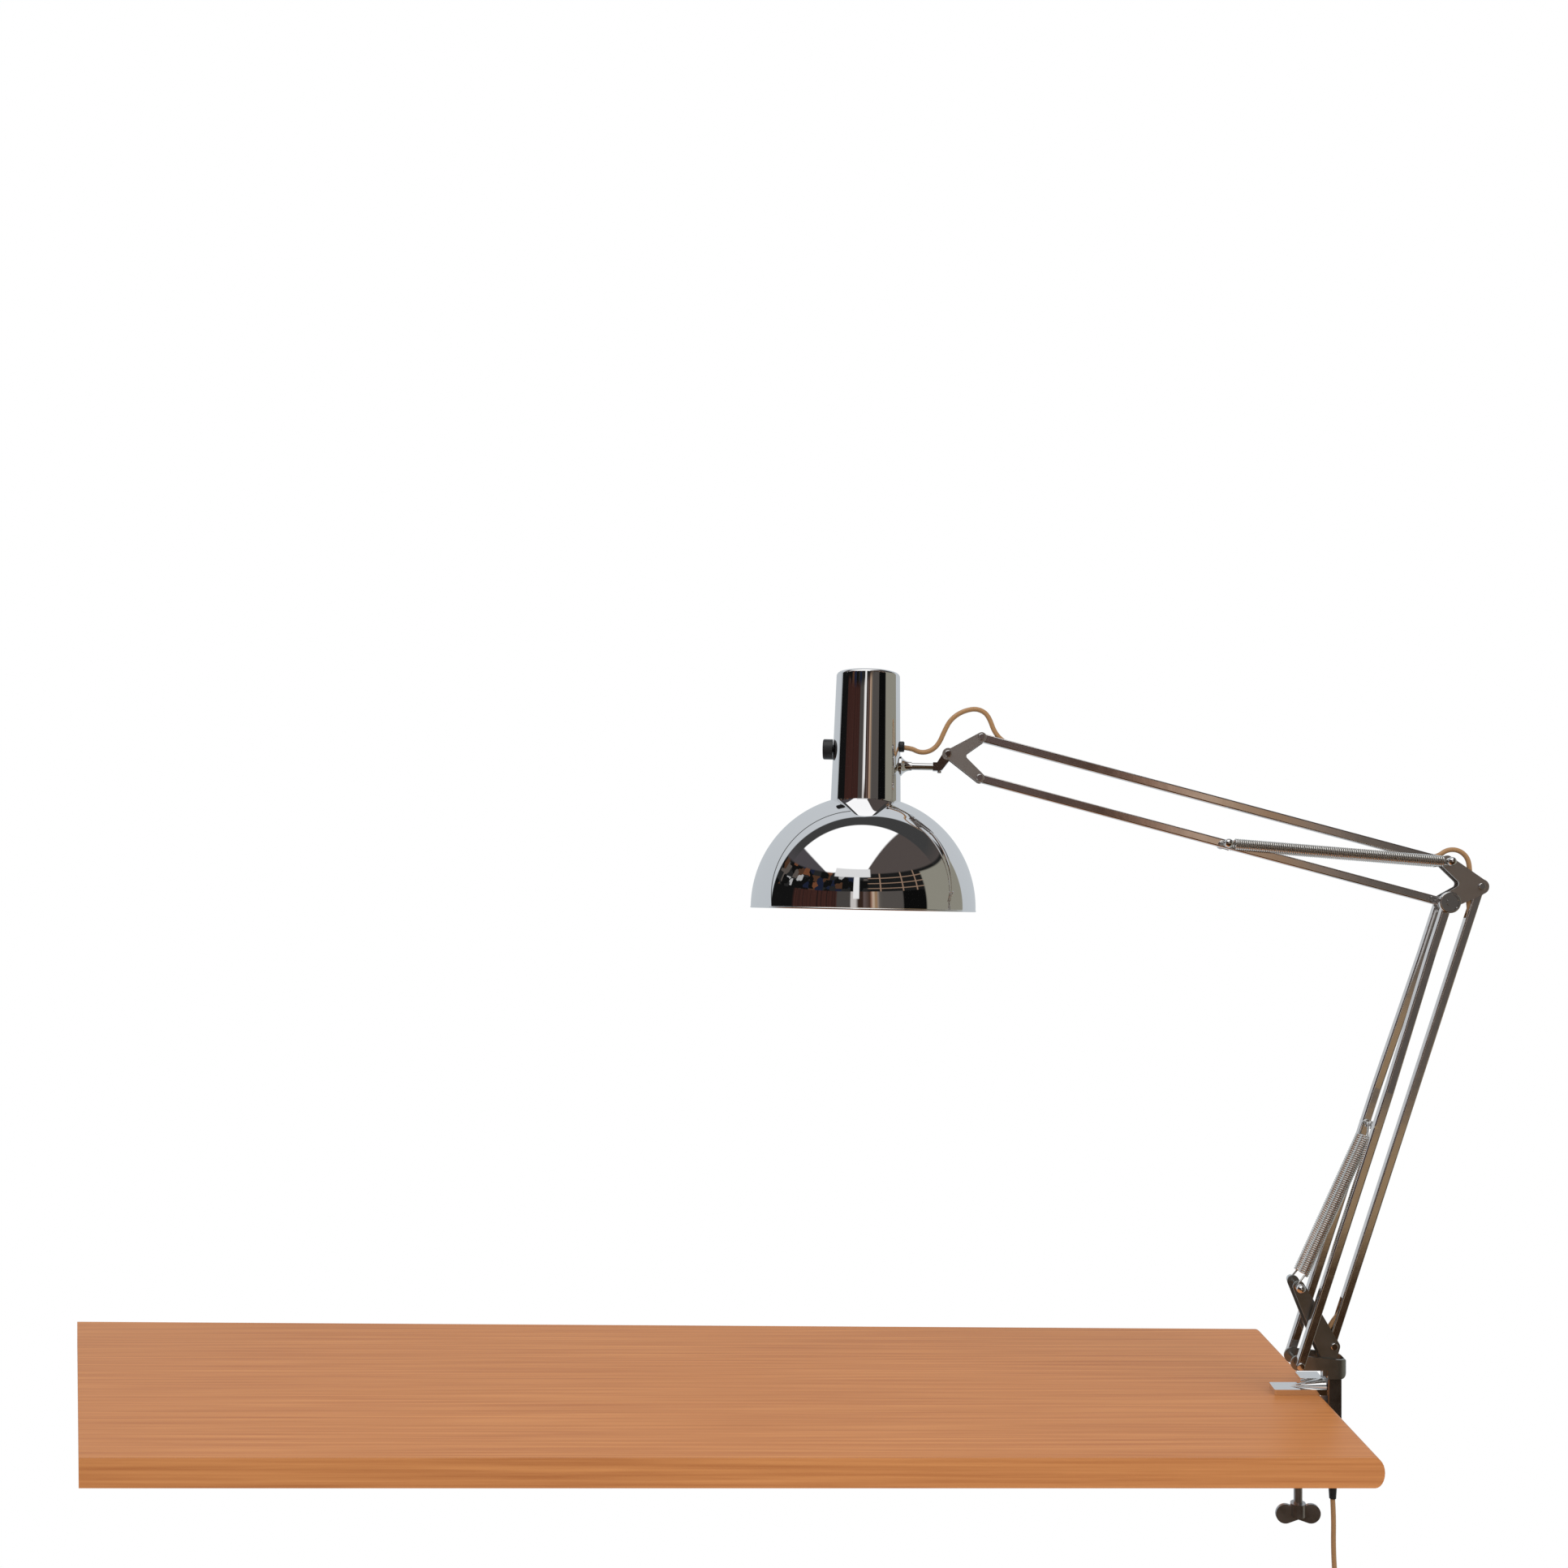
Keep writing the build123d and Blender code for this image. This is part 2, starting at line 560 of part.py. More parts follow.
def make_springs():
    cross = polar(ELBOW_C, UPPER_SPRING_AT, UPPER_ANGLE)
    low = lower_cross()
    for where, side in (("front", -1), ("rear", 1)):
        name = where + "_upper_spring"
        y = side * UPPER_SPRING_Y
        start = Vector(cross[0], y, cross[1])
        parts[name] = spring(name, start, Vector(ELBOW_A[0], y, ELBOW_A[1]), SMALL_PIN_R, UPPER_HOOK)
        name = where + "_lower_spring"
        start = Vector(BASE_A[0], side * LEVER_SPRING_Y, BASE_A[1])
        end = Vector(low[0], side * CROSS_SPRING_Y, low[1])
        parts[name] = spring(name, start, end, SMALL_PIN_R, LOWER_HOOK)


# Head bracket
def make_bracket():
    hub = (TILT[0] + BRACKET_HUB_BACK, TILT[1] - 0.5)
    outline = hull((HEAD_A, BRACKET_LOBE), (hub, BRACKET_HUB_R)) + hull((HEAD_C, BRACKET_LOBE), (hub, BRACKET_HUB_R))
    outline = round_notch(outline, hub, BRACKET_HUB_R) + disc_at(TILT, BRACKET_LOBE + 1.0)
    for point in (HEAD_A, HEAD_C, TILT):
        outline -= disc_at(point, PIN_R)
    parts["front_head_plate"] = slab(outline, -PLATE_OUT, -PLATE_IN)
    parts["rear_head_plate"] = slab(outline, PLATE_IN, PLATE_OUT)
    rivets = [headed_pin(point, PIN_R, PLATE_OUT + RUN_FIT, HEAD_R) for point in (HEAD_A, HEAD_C, TILT)]
    parts["head_rivets"] = Compound(children=rivets)


# Stem and head, drawn upright about the tilt pivot and then leaned
HEAD_FRAME = Pos(TILT[0], 0, TILT[1]) * Rot(0, LEAN, 0)


def x_cylinder(radius, low, high, z):
    """A cylinder along X in the head's frame."""
    return Pos((low + high) / 2, 0, z) * Rot(0, 90, 0) * Cylinder(radius, high - low)


def tube_r(z):
    """The housing tube's outer radius at that height."""
    share = (TUBE_UP - z) / TUBE_LENGTH
    return TUBE_TOP_R + (TUBE_BOTTOM_R - TUBE_TOP_R) * share


def tube_solid(inset, top):
    low = TUBE_UP - TUBE_LENGTH
    face = make_face(
        Polyline(
            (0, low - 2 * inset),
            (TUBE_BOTTOM_R - inset, low - 2 * inset),
            (TUBE_TOP_R - inset, top),
            (0, top),
            close=True,
        )
    )
    solid = revolve(Plane.XZ * face, axis=Axis.Z)
    return fillet(solid.edges().sort_by(Axis.Z)[-1], TUBE_EDGE - inset)


def add_head(name, solid):
    parts[name] = HEAD_FRAME * solid


def make_stem():
    block = hull(((0, 0), BRACKET_LOBE), ((-STEM_START, -STEM_DROP), BLOCK_R))
    block += Pos(-STEM_START - 3, -STEM_DROP) * Rectangle(6, 2 * BLOCK_R)
    block -= disc_at((0, 0), PIN_R + RUN_FIT)
    block = slab(block, -HALF, HALF)
    stem_low = -HEAD_REACH + tube_r(-STEM_DROP) - TUBE_WALL - 5.0
    block -= x_cylinder(STEM_R, -STEM_START - 20, -STEM_START + 2, -STEM_DROP)
    add_head("tilt_block", block)
    add_head("stem_rod", x_cylinder(STEM_R, stem_low, -STEM_START + 2, -STEM_DROP))
    nut = x_cylinder(6.0, stem_low + 0.4, stem_low + 3.6, -STEM_DROP)
    add_head("stem_nut", nut - x_cylinder(STEM_R, stem_low - 1, stem_low + 9, -STEM_DROP))
    screw = Pos(-STEM_START, 0, -STEM_DROP - BLOCK_R - 1.0) * Cylinder(2.0, 2.0)
    add_head("tilt_screw", fillet(screw.faces().sort_by(Axis.Z)[0].edges(), 0.8))


def make_head():
    axis = Pos(-HEAD_REACH, 0, 0)
    outer = tube_solid(0, TUBE_UP)
    hollow = tube_solid(TUBE_WALL, TUBE_UP - TUBE_WALL)
    ball = Pos(0, 0, -SHADE_DROP) * Sphere(SHADE_R + RUN_FIT)
    tube = axis * (outer - hollow - ball)
    right = -HEAD_REACH + TUBE_TOP_R - 8
    left = -HEAD_REACH - TUBE_TOP_R + 8
    tube -= x_cylinder(STEM_R + BODY_GAP, right, right + 20, -STEM_DROP)
    tube -= x_cylinder(GROMMET_R - 1.2, right, right + 20, GROMMET_UP)
    tube -= x_cylinder(SWITCH_BODY_R / 2 + SIDE_GAP, left - 20, left, SWITCH_UP)
    add_head("housing_tube", tube)

    dome = Sphere(SHADE_R) - Sphere(SHADE_R - SHADE_WALL)
    dome &= Pos(0, 0, SHADE_R) * Box(4 * SHADE_R, 4 * SHADE_R, 2 * SHADE_R)
    rim = Pos(0, 0, -SHADE_LIP / 2) * (
        Cylinder(SHADE_R, SHADE_LIP) - Cylinder(SHADE_R - SHADE_WALL, 2 * SHADE_LIP)
    )
    dome += rim
    dome -= Pos(0, 0, SHADE_R) * Cylinder(SHADE_HOLE_R, SHADE_R)
    bead = Pos(0, 0, -SHADE_LIP) * Torus(SHADE_R - SHADE_WALL / 2, SHADE_WALL * 0.9)
    add_head("shade", Pos(-HEAD_REACH, 0, -SHADE_DROP) * (dome + bead))

    wall_x = -HEAD_REACH + tube_r(-STEM_DROP)
    flare_end = wall_x + SOCKET_LENGTH
    skirt = wall_x - 3.0
    flare = make_face(
        Line((skirt, 0), (skirt, SOCKET_R))
        + Line((skirt, SOCKET_R), (wall_x + 0.8, SOCKET_R))
        + ThreePointArc(
            (wall_x + 0.8, SOCKET_R),
            (wall_x + SOCKET_LENGTH * 0.42, STEM_R + 2.2),
            (flare_end, STEM_R + 0.9),
        )
        + Line((flare_end, STEM_R + 0.9), (flare_end, 0))
        + Line((flare_end, 0), (skirt, 0))
    )
    socket = Pos(0, 0, -STEM_DROP) * revolve(Plane.XZ * flare, axis=Axis.X)
    socket -= x_cylinder(STEM_R + RUN_FIT, skirt - 5, flare_end + 5, -STEM_DROP)
    socket -= axis * outer
    add_head("stem_socket", socket)

    grommet_x = -HEAD_REACH + tube_r(GROMMET_UP)
    ring = x_cylinder(GROMMET_R, grommet_x - 2.0, grommet_x + GROMMET_PROUD, GROMMET_UP)
    ring = fillet(ring.faces().sort_by(Axis.X)[-1].edges(), 1.2)
    ring -= axis * outer
    ring += x_cylinder(GROMMET_R - 1.3, grommet_x - 5.0, grommet_x + 1.0, GROMMET_UP)
    ring -= x_cylinder(CORD_R + RUN_FIT, grommet_x - 20, grommet_x + 20, GROMMET_UP)
    add_head("cord_grommet", ring)

    switch_x = -HEAD_REACH - tube_r(SWITCH_UP)
    inside = TUBE_WALL + 1.8
    body = x_cylinder(SWITCH_BODY_R, switch_x + inside, switch_x + inside + SWITCH_BODY_LENGTH, SWITCH_UP)
    body += x_cylinder(SWITCH_BODY_R / 2, switch_x, switch_x + inside, SWITCH_UP)
    spindle_end = switch_x + inside + SWITCH_BODY_LENGTH * 0.6
    body -= x_cylinder(PIN_R + RUN_FIT, switch_x - 1, spindle_end + BODY_GAP, SWITCH_UP)
    add_head("switch_body", body)
    knob_in = switch_x - BODY_GAP - 0.2
    knob = x_cylinder(SWITCH_KNOB_R, switch_x - SWITCH_KNOB_PROUD, knob_in, SWITCH_UP)
    knob = fillet(knob.faces().sort_by(Axis.X)[0].edges(), 1.4)
    knob += x_cylinder(PIN_R, knob_in - 1, spindle_end, SWITCH_UP)
    add_head("switch_knob", knob)


def make_lampholder():
    axis = Pos(-HEAD_REACH, 0, 0)
    top = -HOLDER_TOP_DROP
    low = top - HOLDER_LENGTH
    shade_top = math.sqrt(SHADE_R**2 - SHADE_HOLE_R**2) - SHADE_DROP
    holder = Pos(0, 0, (top + low) / 2) * Cylinder(HOLDER_R, HOLDER_LENGTH)
    flange_low = shade_top + 0.1
    holder += Pos(0, 0, flange_low + 1.2) * Cylinder(SHADE_HOLE_R + 4, 2.4)
    cap_high = 26.0
    holder -= Pos(0, 0, low + cap_high / 2) * Cylinder(BULB_CAP_R + BODY_GAP, cap_high)
    nipple = 4.0
    holder += Pos(0, 0, top + nipple / 2) * Cylinder(5.0, nipple)
    add_head("lampholder", axis * holder)

    bridge_z = top + nipple
    bridge_r = tube_r(bridge_z + 2.0) - TUBE_WALL - SIDE_GAP
    bridge = Pos(0, 0, bridge_z + 1.0) * Cylinder(bridge_r, 2.0)
    for side in (-1, 1):
        bridge -= Pos(0, side * bridge_r / 2, bridge_z) * Cylinder(6.0, 10.0)
    add_head("holder_bridge", axis * bridge)

    under = math.sqrt((SHADE_R - SHADE_WALL) ** 2 - (SHADE_HOLE_R + 4) ** 2) - SHADE_DROP
    ring = Cylinder(SHADE_HOLE_R + 4, 5.0) - Cylinder(HOLDER_R + RUN_FIT, 20.0)
    add_head("shade_ring", axis * (Pos(0, 0, under - 2.6) * ring))

    cap_top = low + cap_high - 2.0
    cap = Pos(0, 0, (cap_top + low) / 2) * Cylinder(BULB_CAP_R, cap_top - low)
    add_head("bulb_cap", axis * cap)
    centre = cap_top - BULB_LENGTH + BULB_R
    neck_low = centre + BULB_R * 0.62

    def bulb_shape(inset):
        neck = Cone(BULB_R * 0.785 - inset, BULB_CAP_R - inset, low - neck_low)
        return Pos(0, 0, centre) * Sphere(BULB_R - inset) + Pos(0, 0, (low + neck_low) / 2) * neck

    add_head("bulb_glass", axis * (bulb_shape(0) - bulb_shape(BULB_WALL)))


# Cord routes
LOWER_SLOT_FOOT = (12.0, 44.0)
LOWER_SLOT_TOP = (418.0, 440.0)
UPPER_SLOT_ELBOW = (3.0, 30.0)
UPPER_SLOT_HEAD = (420.0, 440.0)
CORD_SPLIT = 0.15
RUN_IN = 40.0

HEAD_LOOP = [
    (-354.8, 0, 598.8),
    (-344.6, 0, 600.2),
    (-336.8, 0, 607.0),
    (-331.2, 0, 620.0),
    (-326.0, 0, 629.6),
    (-317.0, 0, 636.6),
    (-305.6, 0, 640.2),
    (-297.1, 0, 639.0),
    (-290.0, 0, 633.4),
    (-284.0, 0, 616.0),
]
ELBOW_LOOP = [
    (123.5, 0, 500.3),
    (132.0, 0, 502.4),
    (139.0, 0, 507.5),
    (147.3, 0, 508.4),
    (155.0, 0, 505.0),
    (160.0, 0, 498.1),
    (161.2, 0, 486.2),
    (160.6, 0, 474.0),
    (159.6, 0, 462.0),
]
BASE_STRETCH = [
    (33.6, 0, 67.5),
    (27.6, 0, 57.0),
    (23.4, 0, 47.0),
    (24.2, 0, 37.4),
    (29.0, 0, 29.4),
]
HANGING = [
    (33.4, -0.4, -118.0),
    (32.6, -1.6, -142.0),
    (32.9, -4.0, -166.0),
    (33.2, -9.6, -189.0),
    (32.8, -22.0, -208.5),
    (32.4, -40.0, -221.0),
    (32.5, -60.0, -226.8),
]


def rod_point(point, angle, s):
    spot = polar(point, s, angle)
    return (spot[0], 0, spot[1])


def make_cords():
    run_start, run_end = RUN_IN, UPPER_REACH - RUN_IN
    tail_x = -HEAD_REACH + tube_r(GROMMET_UP)
    inner = HEAD_FRAME * Pos(tail_x - 20, 0, GROMMET_UP)
    outer = HEAD_FRAME * Pos(tail_x + 8, 0, GROMMET_UP)
    route = [tuple(inner.position), tuple(outer.position)] + HEAD_LOOP
    route += [rod_point(ELBOW_A, UPPER_ANGLE, run_end + 14), rod_point(ELBOW_A, UPPER_ANGLE, run_end + CORD_SPLIT)]
    parts["head_cord"] = cord_tube("head_cord", unbend(route))

    straight = Vector(*rod_point(ELBOW_A, UPPER_ANGLE, run_start + CORD_SPLIT))
    far = Vector(*rod_point(ELBOW_A, UPPER_ANGLE, run_end - CORD_SPLIT))
    parts["upper_cord_run"] = straight_cord(straight, far)

    route = [rod_point(ELBOW_A, UPPER_ANGLE, run_start - CORD_SPLIT)]
    route += ELBOW_LOOP
    top = LOWER_REACH - RUN_IN
    route += [rod_point(BASE_B, LOWER_ANGLE, top + 12), rod_point(BASE_B, LOWER_ANGLE, top + CORD_SPLIT)]
    parts["elbow_cord"] = cord_tube("elbow_cord", unbend(route))

    straight = Vector(*rod_point(BASE_B, LOWER_ANGLE, RUN_IN + CORD_SPLIT))
    far = Vector(*rod_point(BASE_B, LOWER_ANGLE, top - CORD_SPLIT))
    parts["lower_cord_run"] = straight_cord(straight, far)

    mouth = HOOP_FLOOR + BLOCK_HIGH - 4.0
    join = HOOP_FLOOR - 4.0
    route = [rod_point(BASE_B, LOWER_ANGLE, RUN_IN - CORD_SPLIT), rod_point(BASE_B, LOWER_ANGLE, RUN_IN - 9)]
    route += BASE_STRETCH + [(SWIVEL_X, 0, mouth), (SWIVEL_X, 0, join + CORD_SPLIT)]
    parts["base_cord"] = cord_tube("base_cord", unbend(route))

    coil_start = Vector(SWIVEL_X, -80.0, FLOOR_Z + TIE_THICK + TIE_GAP + CORD_R)
    coil_join = coil_start + Vector(0, 2 * CORD_SPLIT, 0)
    foot = SPINE_FOOT - SLEEVE_LENGTH
    parts["cord_in_pin"] = straight_cord(Vector(SWIVEL_X, 0, join - CORD_SPLIT), Vector(SWIVEL_X, 0, foot))
    route = [(SWIVEL_X, 0, foot - 2 * CORD_SPLIT)] + HANGING + [tuple(coil_join)]
    parts["mains_cord"] = cord_tube("mains_cord", route)

    sleeve = Pos(SWIVEL_X, 0, SPINE_FOOT - SLEEVE_LENGTH / 2) * Cone(CORD_R + 0.9, SLEEVE_R, SLEEVE_LENGTH)
    sleeve -= Pos(SWIVEL_X, 0, SPINE_FOOT) * Cylinder(CORD_R + RUN_FIT, 4 * SLEEVE_LENGTH)
    parts["cord_sleeve"] = sleeve
    make_coil(coil_start)


def unbend(route):
    """Leaves out a point that lies in line with its neighbours."""
    kept = [route[0]]
    for here, after in zip(route[1:], route[2:]):
        into = Vector(*here) - Vector(*kept[-1])
        if into.get_angle(Vector(*after) - Vector(*here)) > 0.5:
            kept.append(here)
    return kept + [route[-1]]


def straight_cord(start, end):
    line = end - start
    return extrude(Plane(origin=start, z_dir=line) * Circle(CORD_R), amount=line.length)


def make_coil(start):
    """Two layers of turns: in along the floor, up, and out again on top."""
    edges = [Edge.make_line(start, start + Vector(0, -2 * CORD_R, 0))]
    spot = edges[0] @ 1
    way = Vector(0, -1, 0)
    side = -1
    radius = COIL_OUTER
    half_turns = 2 * COIL_TURNS

    def half_turn(spot, way, side, radius, climb):
        end = spot + Vector(2 * radius * side, 0, climb)
        arcs = biarc(spot, way, end, way * -1)
        return arcs, end

    for k in range(2 * half_turns + 1):
        climb = COIL_STEP if k == half_turns else 0.0
        arcs, spot = half_turn(spot, way, side, radius, climb)
        edges += arcs
        way = way * -1
        side = -side
        radius += -COIL_STEP / 2 if k < half_turns else COIL_STEP / 2
    tail = spot + way * PLUG_TAIL
    edges.append(Edge.make_line(spot, tail))
    parts["cord_coil"] = wound_tube("cord_coil", edges, CORD_R, 5)

    plug_y = tail.Y + way.Y * PLUG_LENGTH / 2
    plug = Pos(tail.X, plug_y, tail.Z) * Box(PLUG_WIDE, PLUG_LENGTH, PLUG_THICK)
    plug = fillet(plug.edges().filter_by(Axis.Y), 5.0)
    parts["plug_body"] = plug
    pins = []
    tip = plug_y + way.Y * (PLUG_LENGTH / 2 + 9.5)
    for dx in (-9.3, 9.3):
        pins.append(Pos(tail.X + dx, tip, tail.Z) * Rot(90, 0, 0) * Cylinder(2.0, 19.0))
    parts["plug_pins"] = Compound(children=pins)

    inner_r = COIL_OUTER - COIL_TURNS * COIL_STEP - CORD_R - TIE_GAP
    outer_r = COIL_OUTER + CORD_R + TIE_GAP
    high = COIL_STEP + 2 * CORD_R + 2 * TIE_GAP
    middle = (start.X - COIL_OUTER, start.Y - 2 * CORD_R - (inner_r + outer_r) / 2, start.Z + COIL_STEP / 2)
    hole = Box(3 * TIE_WIDE, outer_r - inner_r, high)
    band = Box(TIE_WIDE, outer_r - inner_r + 2 * TIE_THICK, high + 2 * TIE_THICK)
    band = fillet(band.edges().filter_by(Axis.X), TIE_THICK)
    parts["cord_tie"] = Pos(*middle) * (band - hole)


make_clamp()
make_base()
make_lower_arm()
make_elbow()
make_upper_arm()
make_springs()
make_bracket()
make_stem()
make_head()
make_lampholder()
make_cords()

for name, shape in parts.items():
    export_step(shape, f"parts/{name}.step")
print(len(parts), "nodes")
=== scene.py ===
import json
import math

import bmesh
import bpy
from mathutils import Matrix, Vector


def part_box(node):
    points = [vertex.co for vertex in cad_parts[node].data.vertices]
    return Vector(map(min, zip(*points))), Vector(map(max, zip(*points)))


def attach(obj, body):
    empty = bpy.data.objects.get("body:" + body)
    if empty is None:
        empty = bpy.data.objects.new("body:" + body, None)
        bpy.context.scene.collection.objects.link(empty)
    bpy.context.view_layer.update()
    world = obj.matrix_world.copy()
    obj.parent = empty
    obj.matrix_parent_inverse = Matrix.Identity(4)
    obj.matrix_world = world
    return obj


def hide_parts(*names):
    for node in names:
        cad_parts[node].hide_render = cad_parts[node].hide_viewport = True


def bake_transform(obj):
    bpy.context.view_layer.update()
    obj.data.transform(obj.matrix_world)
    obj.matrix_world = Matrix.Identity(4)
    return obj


# A chrome balanced-arm desk lamp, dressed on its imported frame. Metres.

# Camera, found from the photograph's vanishing point
CAMERA_PLACE = (-0.357, -1.236, 0.452)
CAMERA_LENS = 30.26
CAMERA_SHIFT = (-0.085, 0.080)

# Places that the dressed pieces share with the frame
MM = 0.001
LEAN = math.radians(1.2)
HEAD_REACH = 0.0763

# Head
TUBE_BOTTOM_R = 0.0327
TUBE_TOP_R = 0.0297
TUBE_LOW = -0.0460
TUBE_UP = 0.0745
TUBE_EDGE = 0.0035
TUBE_WALL = 0.0012
SHADE_R = 0.105
SHADE_WALL = 0.001
SHADE_DROP = 0.1452
SHADE_LIP = 0.0012
SHADE_HOLE_R = 0.022
SHADE_BEAD_R = 0.9 * SHADE_WALL
TUBE_SEAT = 0.0004
TUBE_SEGMENTS = 192
SHADE_SEGMENTS = 256
GROMMET_UP = 0.0064
GROMMET_INSIDE = 0.020
GROMMET_OUTSIDE = 0.008

# Springs
SPRING_R = 0.0052
WIRE_R = 0.00093
PIN_EYE_R = 0.0029
UPPER_HOOK = 0.0065
LOWER_HOOK = 0.0118
UPPER_SPRING_Y = 0.0112
LEVER_SPRING_Y = 0.0116
COIL_NEAR_Y = 0.0067
CROSS_SPRING_Y = 0.0063
SPRING_PITCH = 0.0020
CURL_STEPS = 14
EYE_STEPS = 18
EYE_SWEEP = math.radians(270)
WIRE_SIDES = 7

# Cord
CORD_R = 0.0023
CORD_SIDES = 16
FLOOR_Z = -0.230
COIL_OUTER = 38.0
COIL_STEP = 5.1
COIL_TURNS = 5
COIL_START = (32.5, -80.0, -226.6)
COIL_POINTS = 8
PLUG_TAIL = 36.0
PLUG_TAIL_BEND = 0.4 * PLUG_TAIL
SLEEVE_END = (32.5, 0.0, -100.3)

# Where the cord loops meet the cord in a link rod, in millimetres from the rod's lower pivot
ROD_CORD_LOW = 39.85
ROD_CORD_HIGH = 410.15
UPPER_ROD_ENTRY = 424.0
LOWER_ROD_ENTRY = 422.0
LOWER_ROD_EXIT = 31.0

# Cord routes, in millimetres, as the solids follow them
HEAD_LOOP = [
    (-354.8, 0, 598.8),
    (-344.6, 0, 600.2),
    (-336.8, 0, 607.0),
    (-331.2, 0, 620.0),
    (-326.0, 0, 629.6),
    (-317.0, 0, 636.6),
    (-305.6, 0, 640.2),
    (-297.1, 0, 639.0),
    (-290.0, 0, 633.4),
    (-284.0, 0, 616.0),
]
HEAD_SEAMS = ((-345.0, 0, 600.5), (-318.0, 0, 635.6))
ELBOW_LOOP = [
    (123.5, 0, 500.3),
    (132.0, 0, 502.4),
    (139.0, 0, 507.5),
    (147.3, 0, 508.4),
    (155.0, 0, 505.0),
    (160.0, 0, 498.1),
    (161.2, 0, 486.2),
    (160.6, 0, 474.0),
    (159.6, 0, 462.0),
]
ELBOW_SEAM = (160.6, 0, 490.0)
BASE_STRETCH = [
    (33.6, 0, 67.5),
    (27.6, 0, 57.0),
    (23.4, 0, 47.0),
    (24.2, 0, 37.4),
    (29.0, 0, 29.4),
]
BASE_END = [(32.5, 0, 21.3), (32.5, 0, 11.45)]
HANGING = [
    (33.4, -0.4, -118.0),
    (32.6, -1.6, -142.0),
    (32.9, -4.0, -166.0),
    (33.2, -9.6, -189.0),
    (32.8, -22.0, -208.5),
    (32.4, -40.0, -221.0),
    (32.5, -60.0, -226.8),
]

# Lamps: name, place, size and power
LIGHTS = (
    ("key_light", (-1.2, -1.6, 2.2), 1.6, 34.0),
    ("fill_light", (1.4, -1.0, 1.2), 1.4, 12.0),
)
LIGHT_AIM = Vector((-0.15, 0, 0.3))
ROOM_LIGHT = 0.75

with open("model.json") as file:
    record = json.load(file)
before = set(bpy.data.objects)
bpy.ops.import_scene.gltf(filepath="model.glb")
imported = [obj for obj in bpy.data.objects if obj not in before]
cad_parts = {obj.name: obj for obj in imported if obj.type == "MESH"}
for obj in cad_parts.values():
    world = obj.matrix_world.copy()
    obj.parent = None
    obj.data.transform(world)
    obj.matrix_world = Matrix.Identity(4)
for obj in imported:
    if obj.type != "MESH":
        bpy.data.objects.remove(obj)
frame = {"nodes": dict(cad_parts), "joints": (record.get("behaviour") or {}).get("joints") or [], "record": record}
nodes = frame["nodes"]
joint_at = {j["name"]: Vector(j["pos_m"]) for j in frame["joints"] if "pos_m" in j}
HEAD = Matrix.Translation(joint_at["head_tilt"]) @ Matrix.Rotation(LEAN, 4, "Y")
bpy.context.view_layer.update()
scene = bpy.context.scene
scene.view_settings.view_transform = "Standard"


# Camera
def make_camera():
    data = bpy.data.cameras.new("camera")
    data.lens = CAMERA_LENS
    data.shift_x, data.shift_y = CAMERA_SHIFT
    camera = bpy.data.objects.new("camera", data)
    camera.location = CAMERA_PLACE
    camera.rotation_euler = (math.radians(90), 0, 0)
    scene.collection.objects.link(camera)
    scene.camera = camera


# Small node helpers
class Nodes:
    """Short calls for one node tree."""

    def __init__(self, tree):
        self.tree = tree
        tree.nodes.clear()

    def add(self, kind, **settings):
        node = self.tree.nodes.new(kind)
        for name, value in settings.items():
            setattr(node, name, value)
        return node

    def link(self, source, target):
        self.tree.links.new(source, target)

    def put(self, socket, value):
        """Links value if it is a socket, and writes it down if it is a number or a colour."""
        if isinstance(value, bpy.types.NodeSocket):
            self.link(value, socket)
        else:
            socket.default_value = value

    def math(self, operation, a, b=0.0):
        node = self.add("ShaderNodeMath", operation=operation)
        self.put(node.inputs[0], a)
        self.put(node.inputs[1], b)
        return node.outputs[0]

    def mix(self, factor, a, b):
        node = self.add("ShaderNodeMix", data_type="RGBA")
        self.put(node.inputs["Factor"], factor)
        self.put(node.inputs[6], a)
        self.put(node.inputs[7], b)
        return node.outputs[2]

    def step(self, value, low, high):
        """0 below low, 1 above high, and a straight ramp between."""
        node = self.add("ShaderNodeMapRange", clamp=True)
        self.put(node.inputs["Value"], value)
        node.inputs["From Min"].default_value = low
        node.inputs["From Max"].default_value = high
        return node.outputs["Result"]

    def edge(self, value, place, soft):
        """0 before place and 1 after it, over a soft edge. A negative soft turns it round."""
        return self.step(value, place - soft, place + soft)

    def between(self, value, low, high, soft):
        """1 between low and high and 0 outside, with soft edges."""
        return self.math("MULTIPLY", self.edge(value, low, soft), self.edge(value, high, -soft))

    def ramp(self, value, stops, interpolation="LINEAR"):
        """The colour at value, which runs from 0 to 1 along the stops."""
        node = self.add("ShaderNodeValToRGB")
        self.put(node.inputs[0], value)
        node.color_ramp.interpolation = interpolation
        marks = node.color_ramp.elements
        marks.remove(marks[1])
        marks[0].position, marks[0].color = stops[0]
        for place, colour in stops[1:]:
            marks.new(place).color = colour
        return node.outputs["Color"]

    def noise(self, scale, detail=3.0, vector=None, roughness=0.5):
        node = self.add("ShaderNodeTexNoise")
        node.inputs["Scale"].default_value = scale
        node.inputs["Detail"].default_value = detail
        node.inputs["Roughness"].default_value = roughness
        if vector is not None:
            self.link(vector, node.inputs["Vector"])
        return node.outputs["Fac"]


def grey(level, alpha=1.0):
    return (level, level, level, alpha)


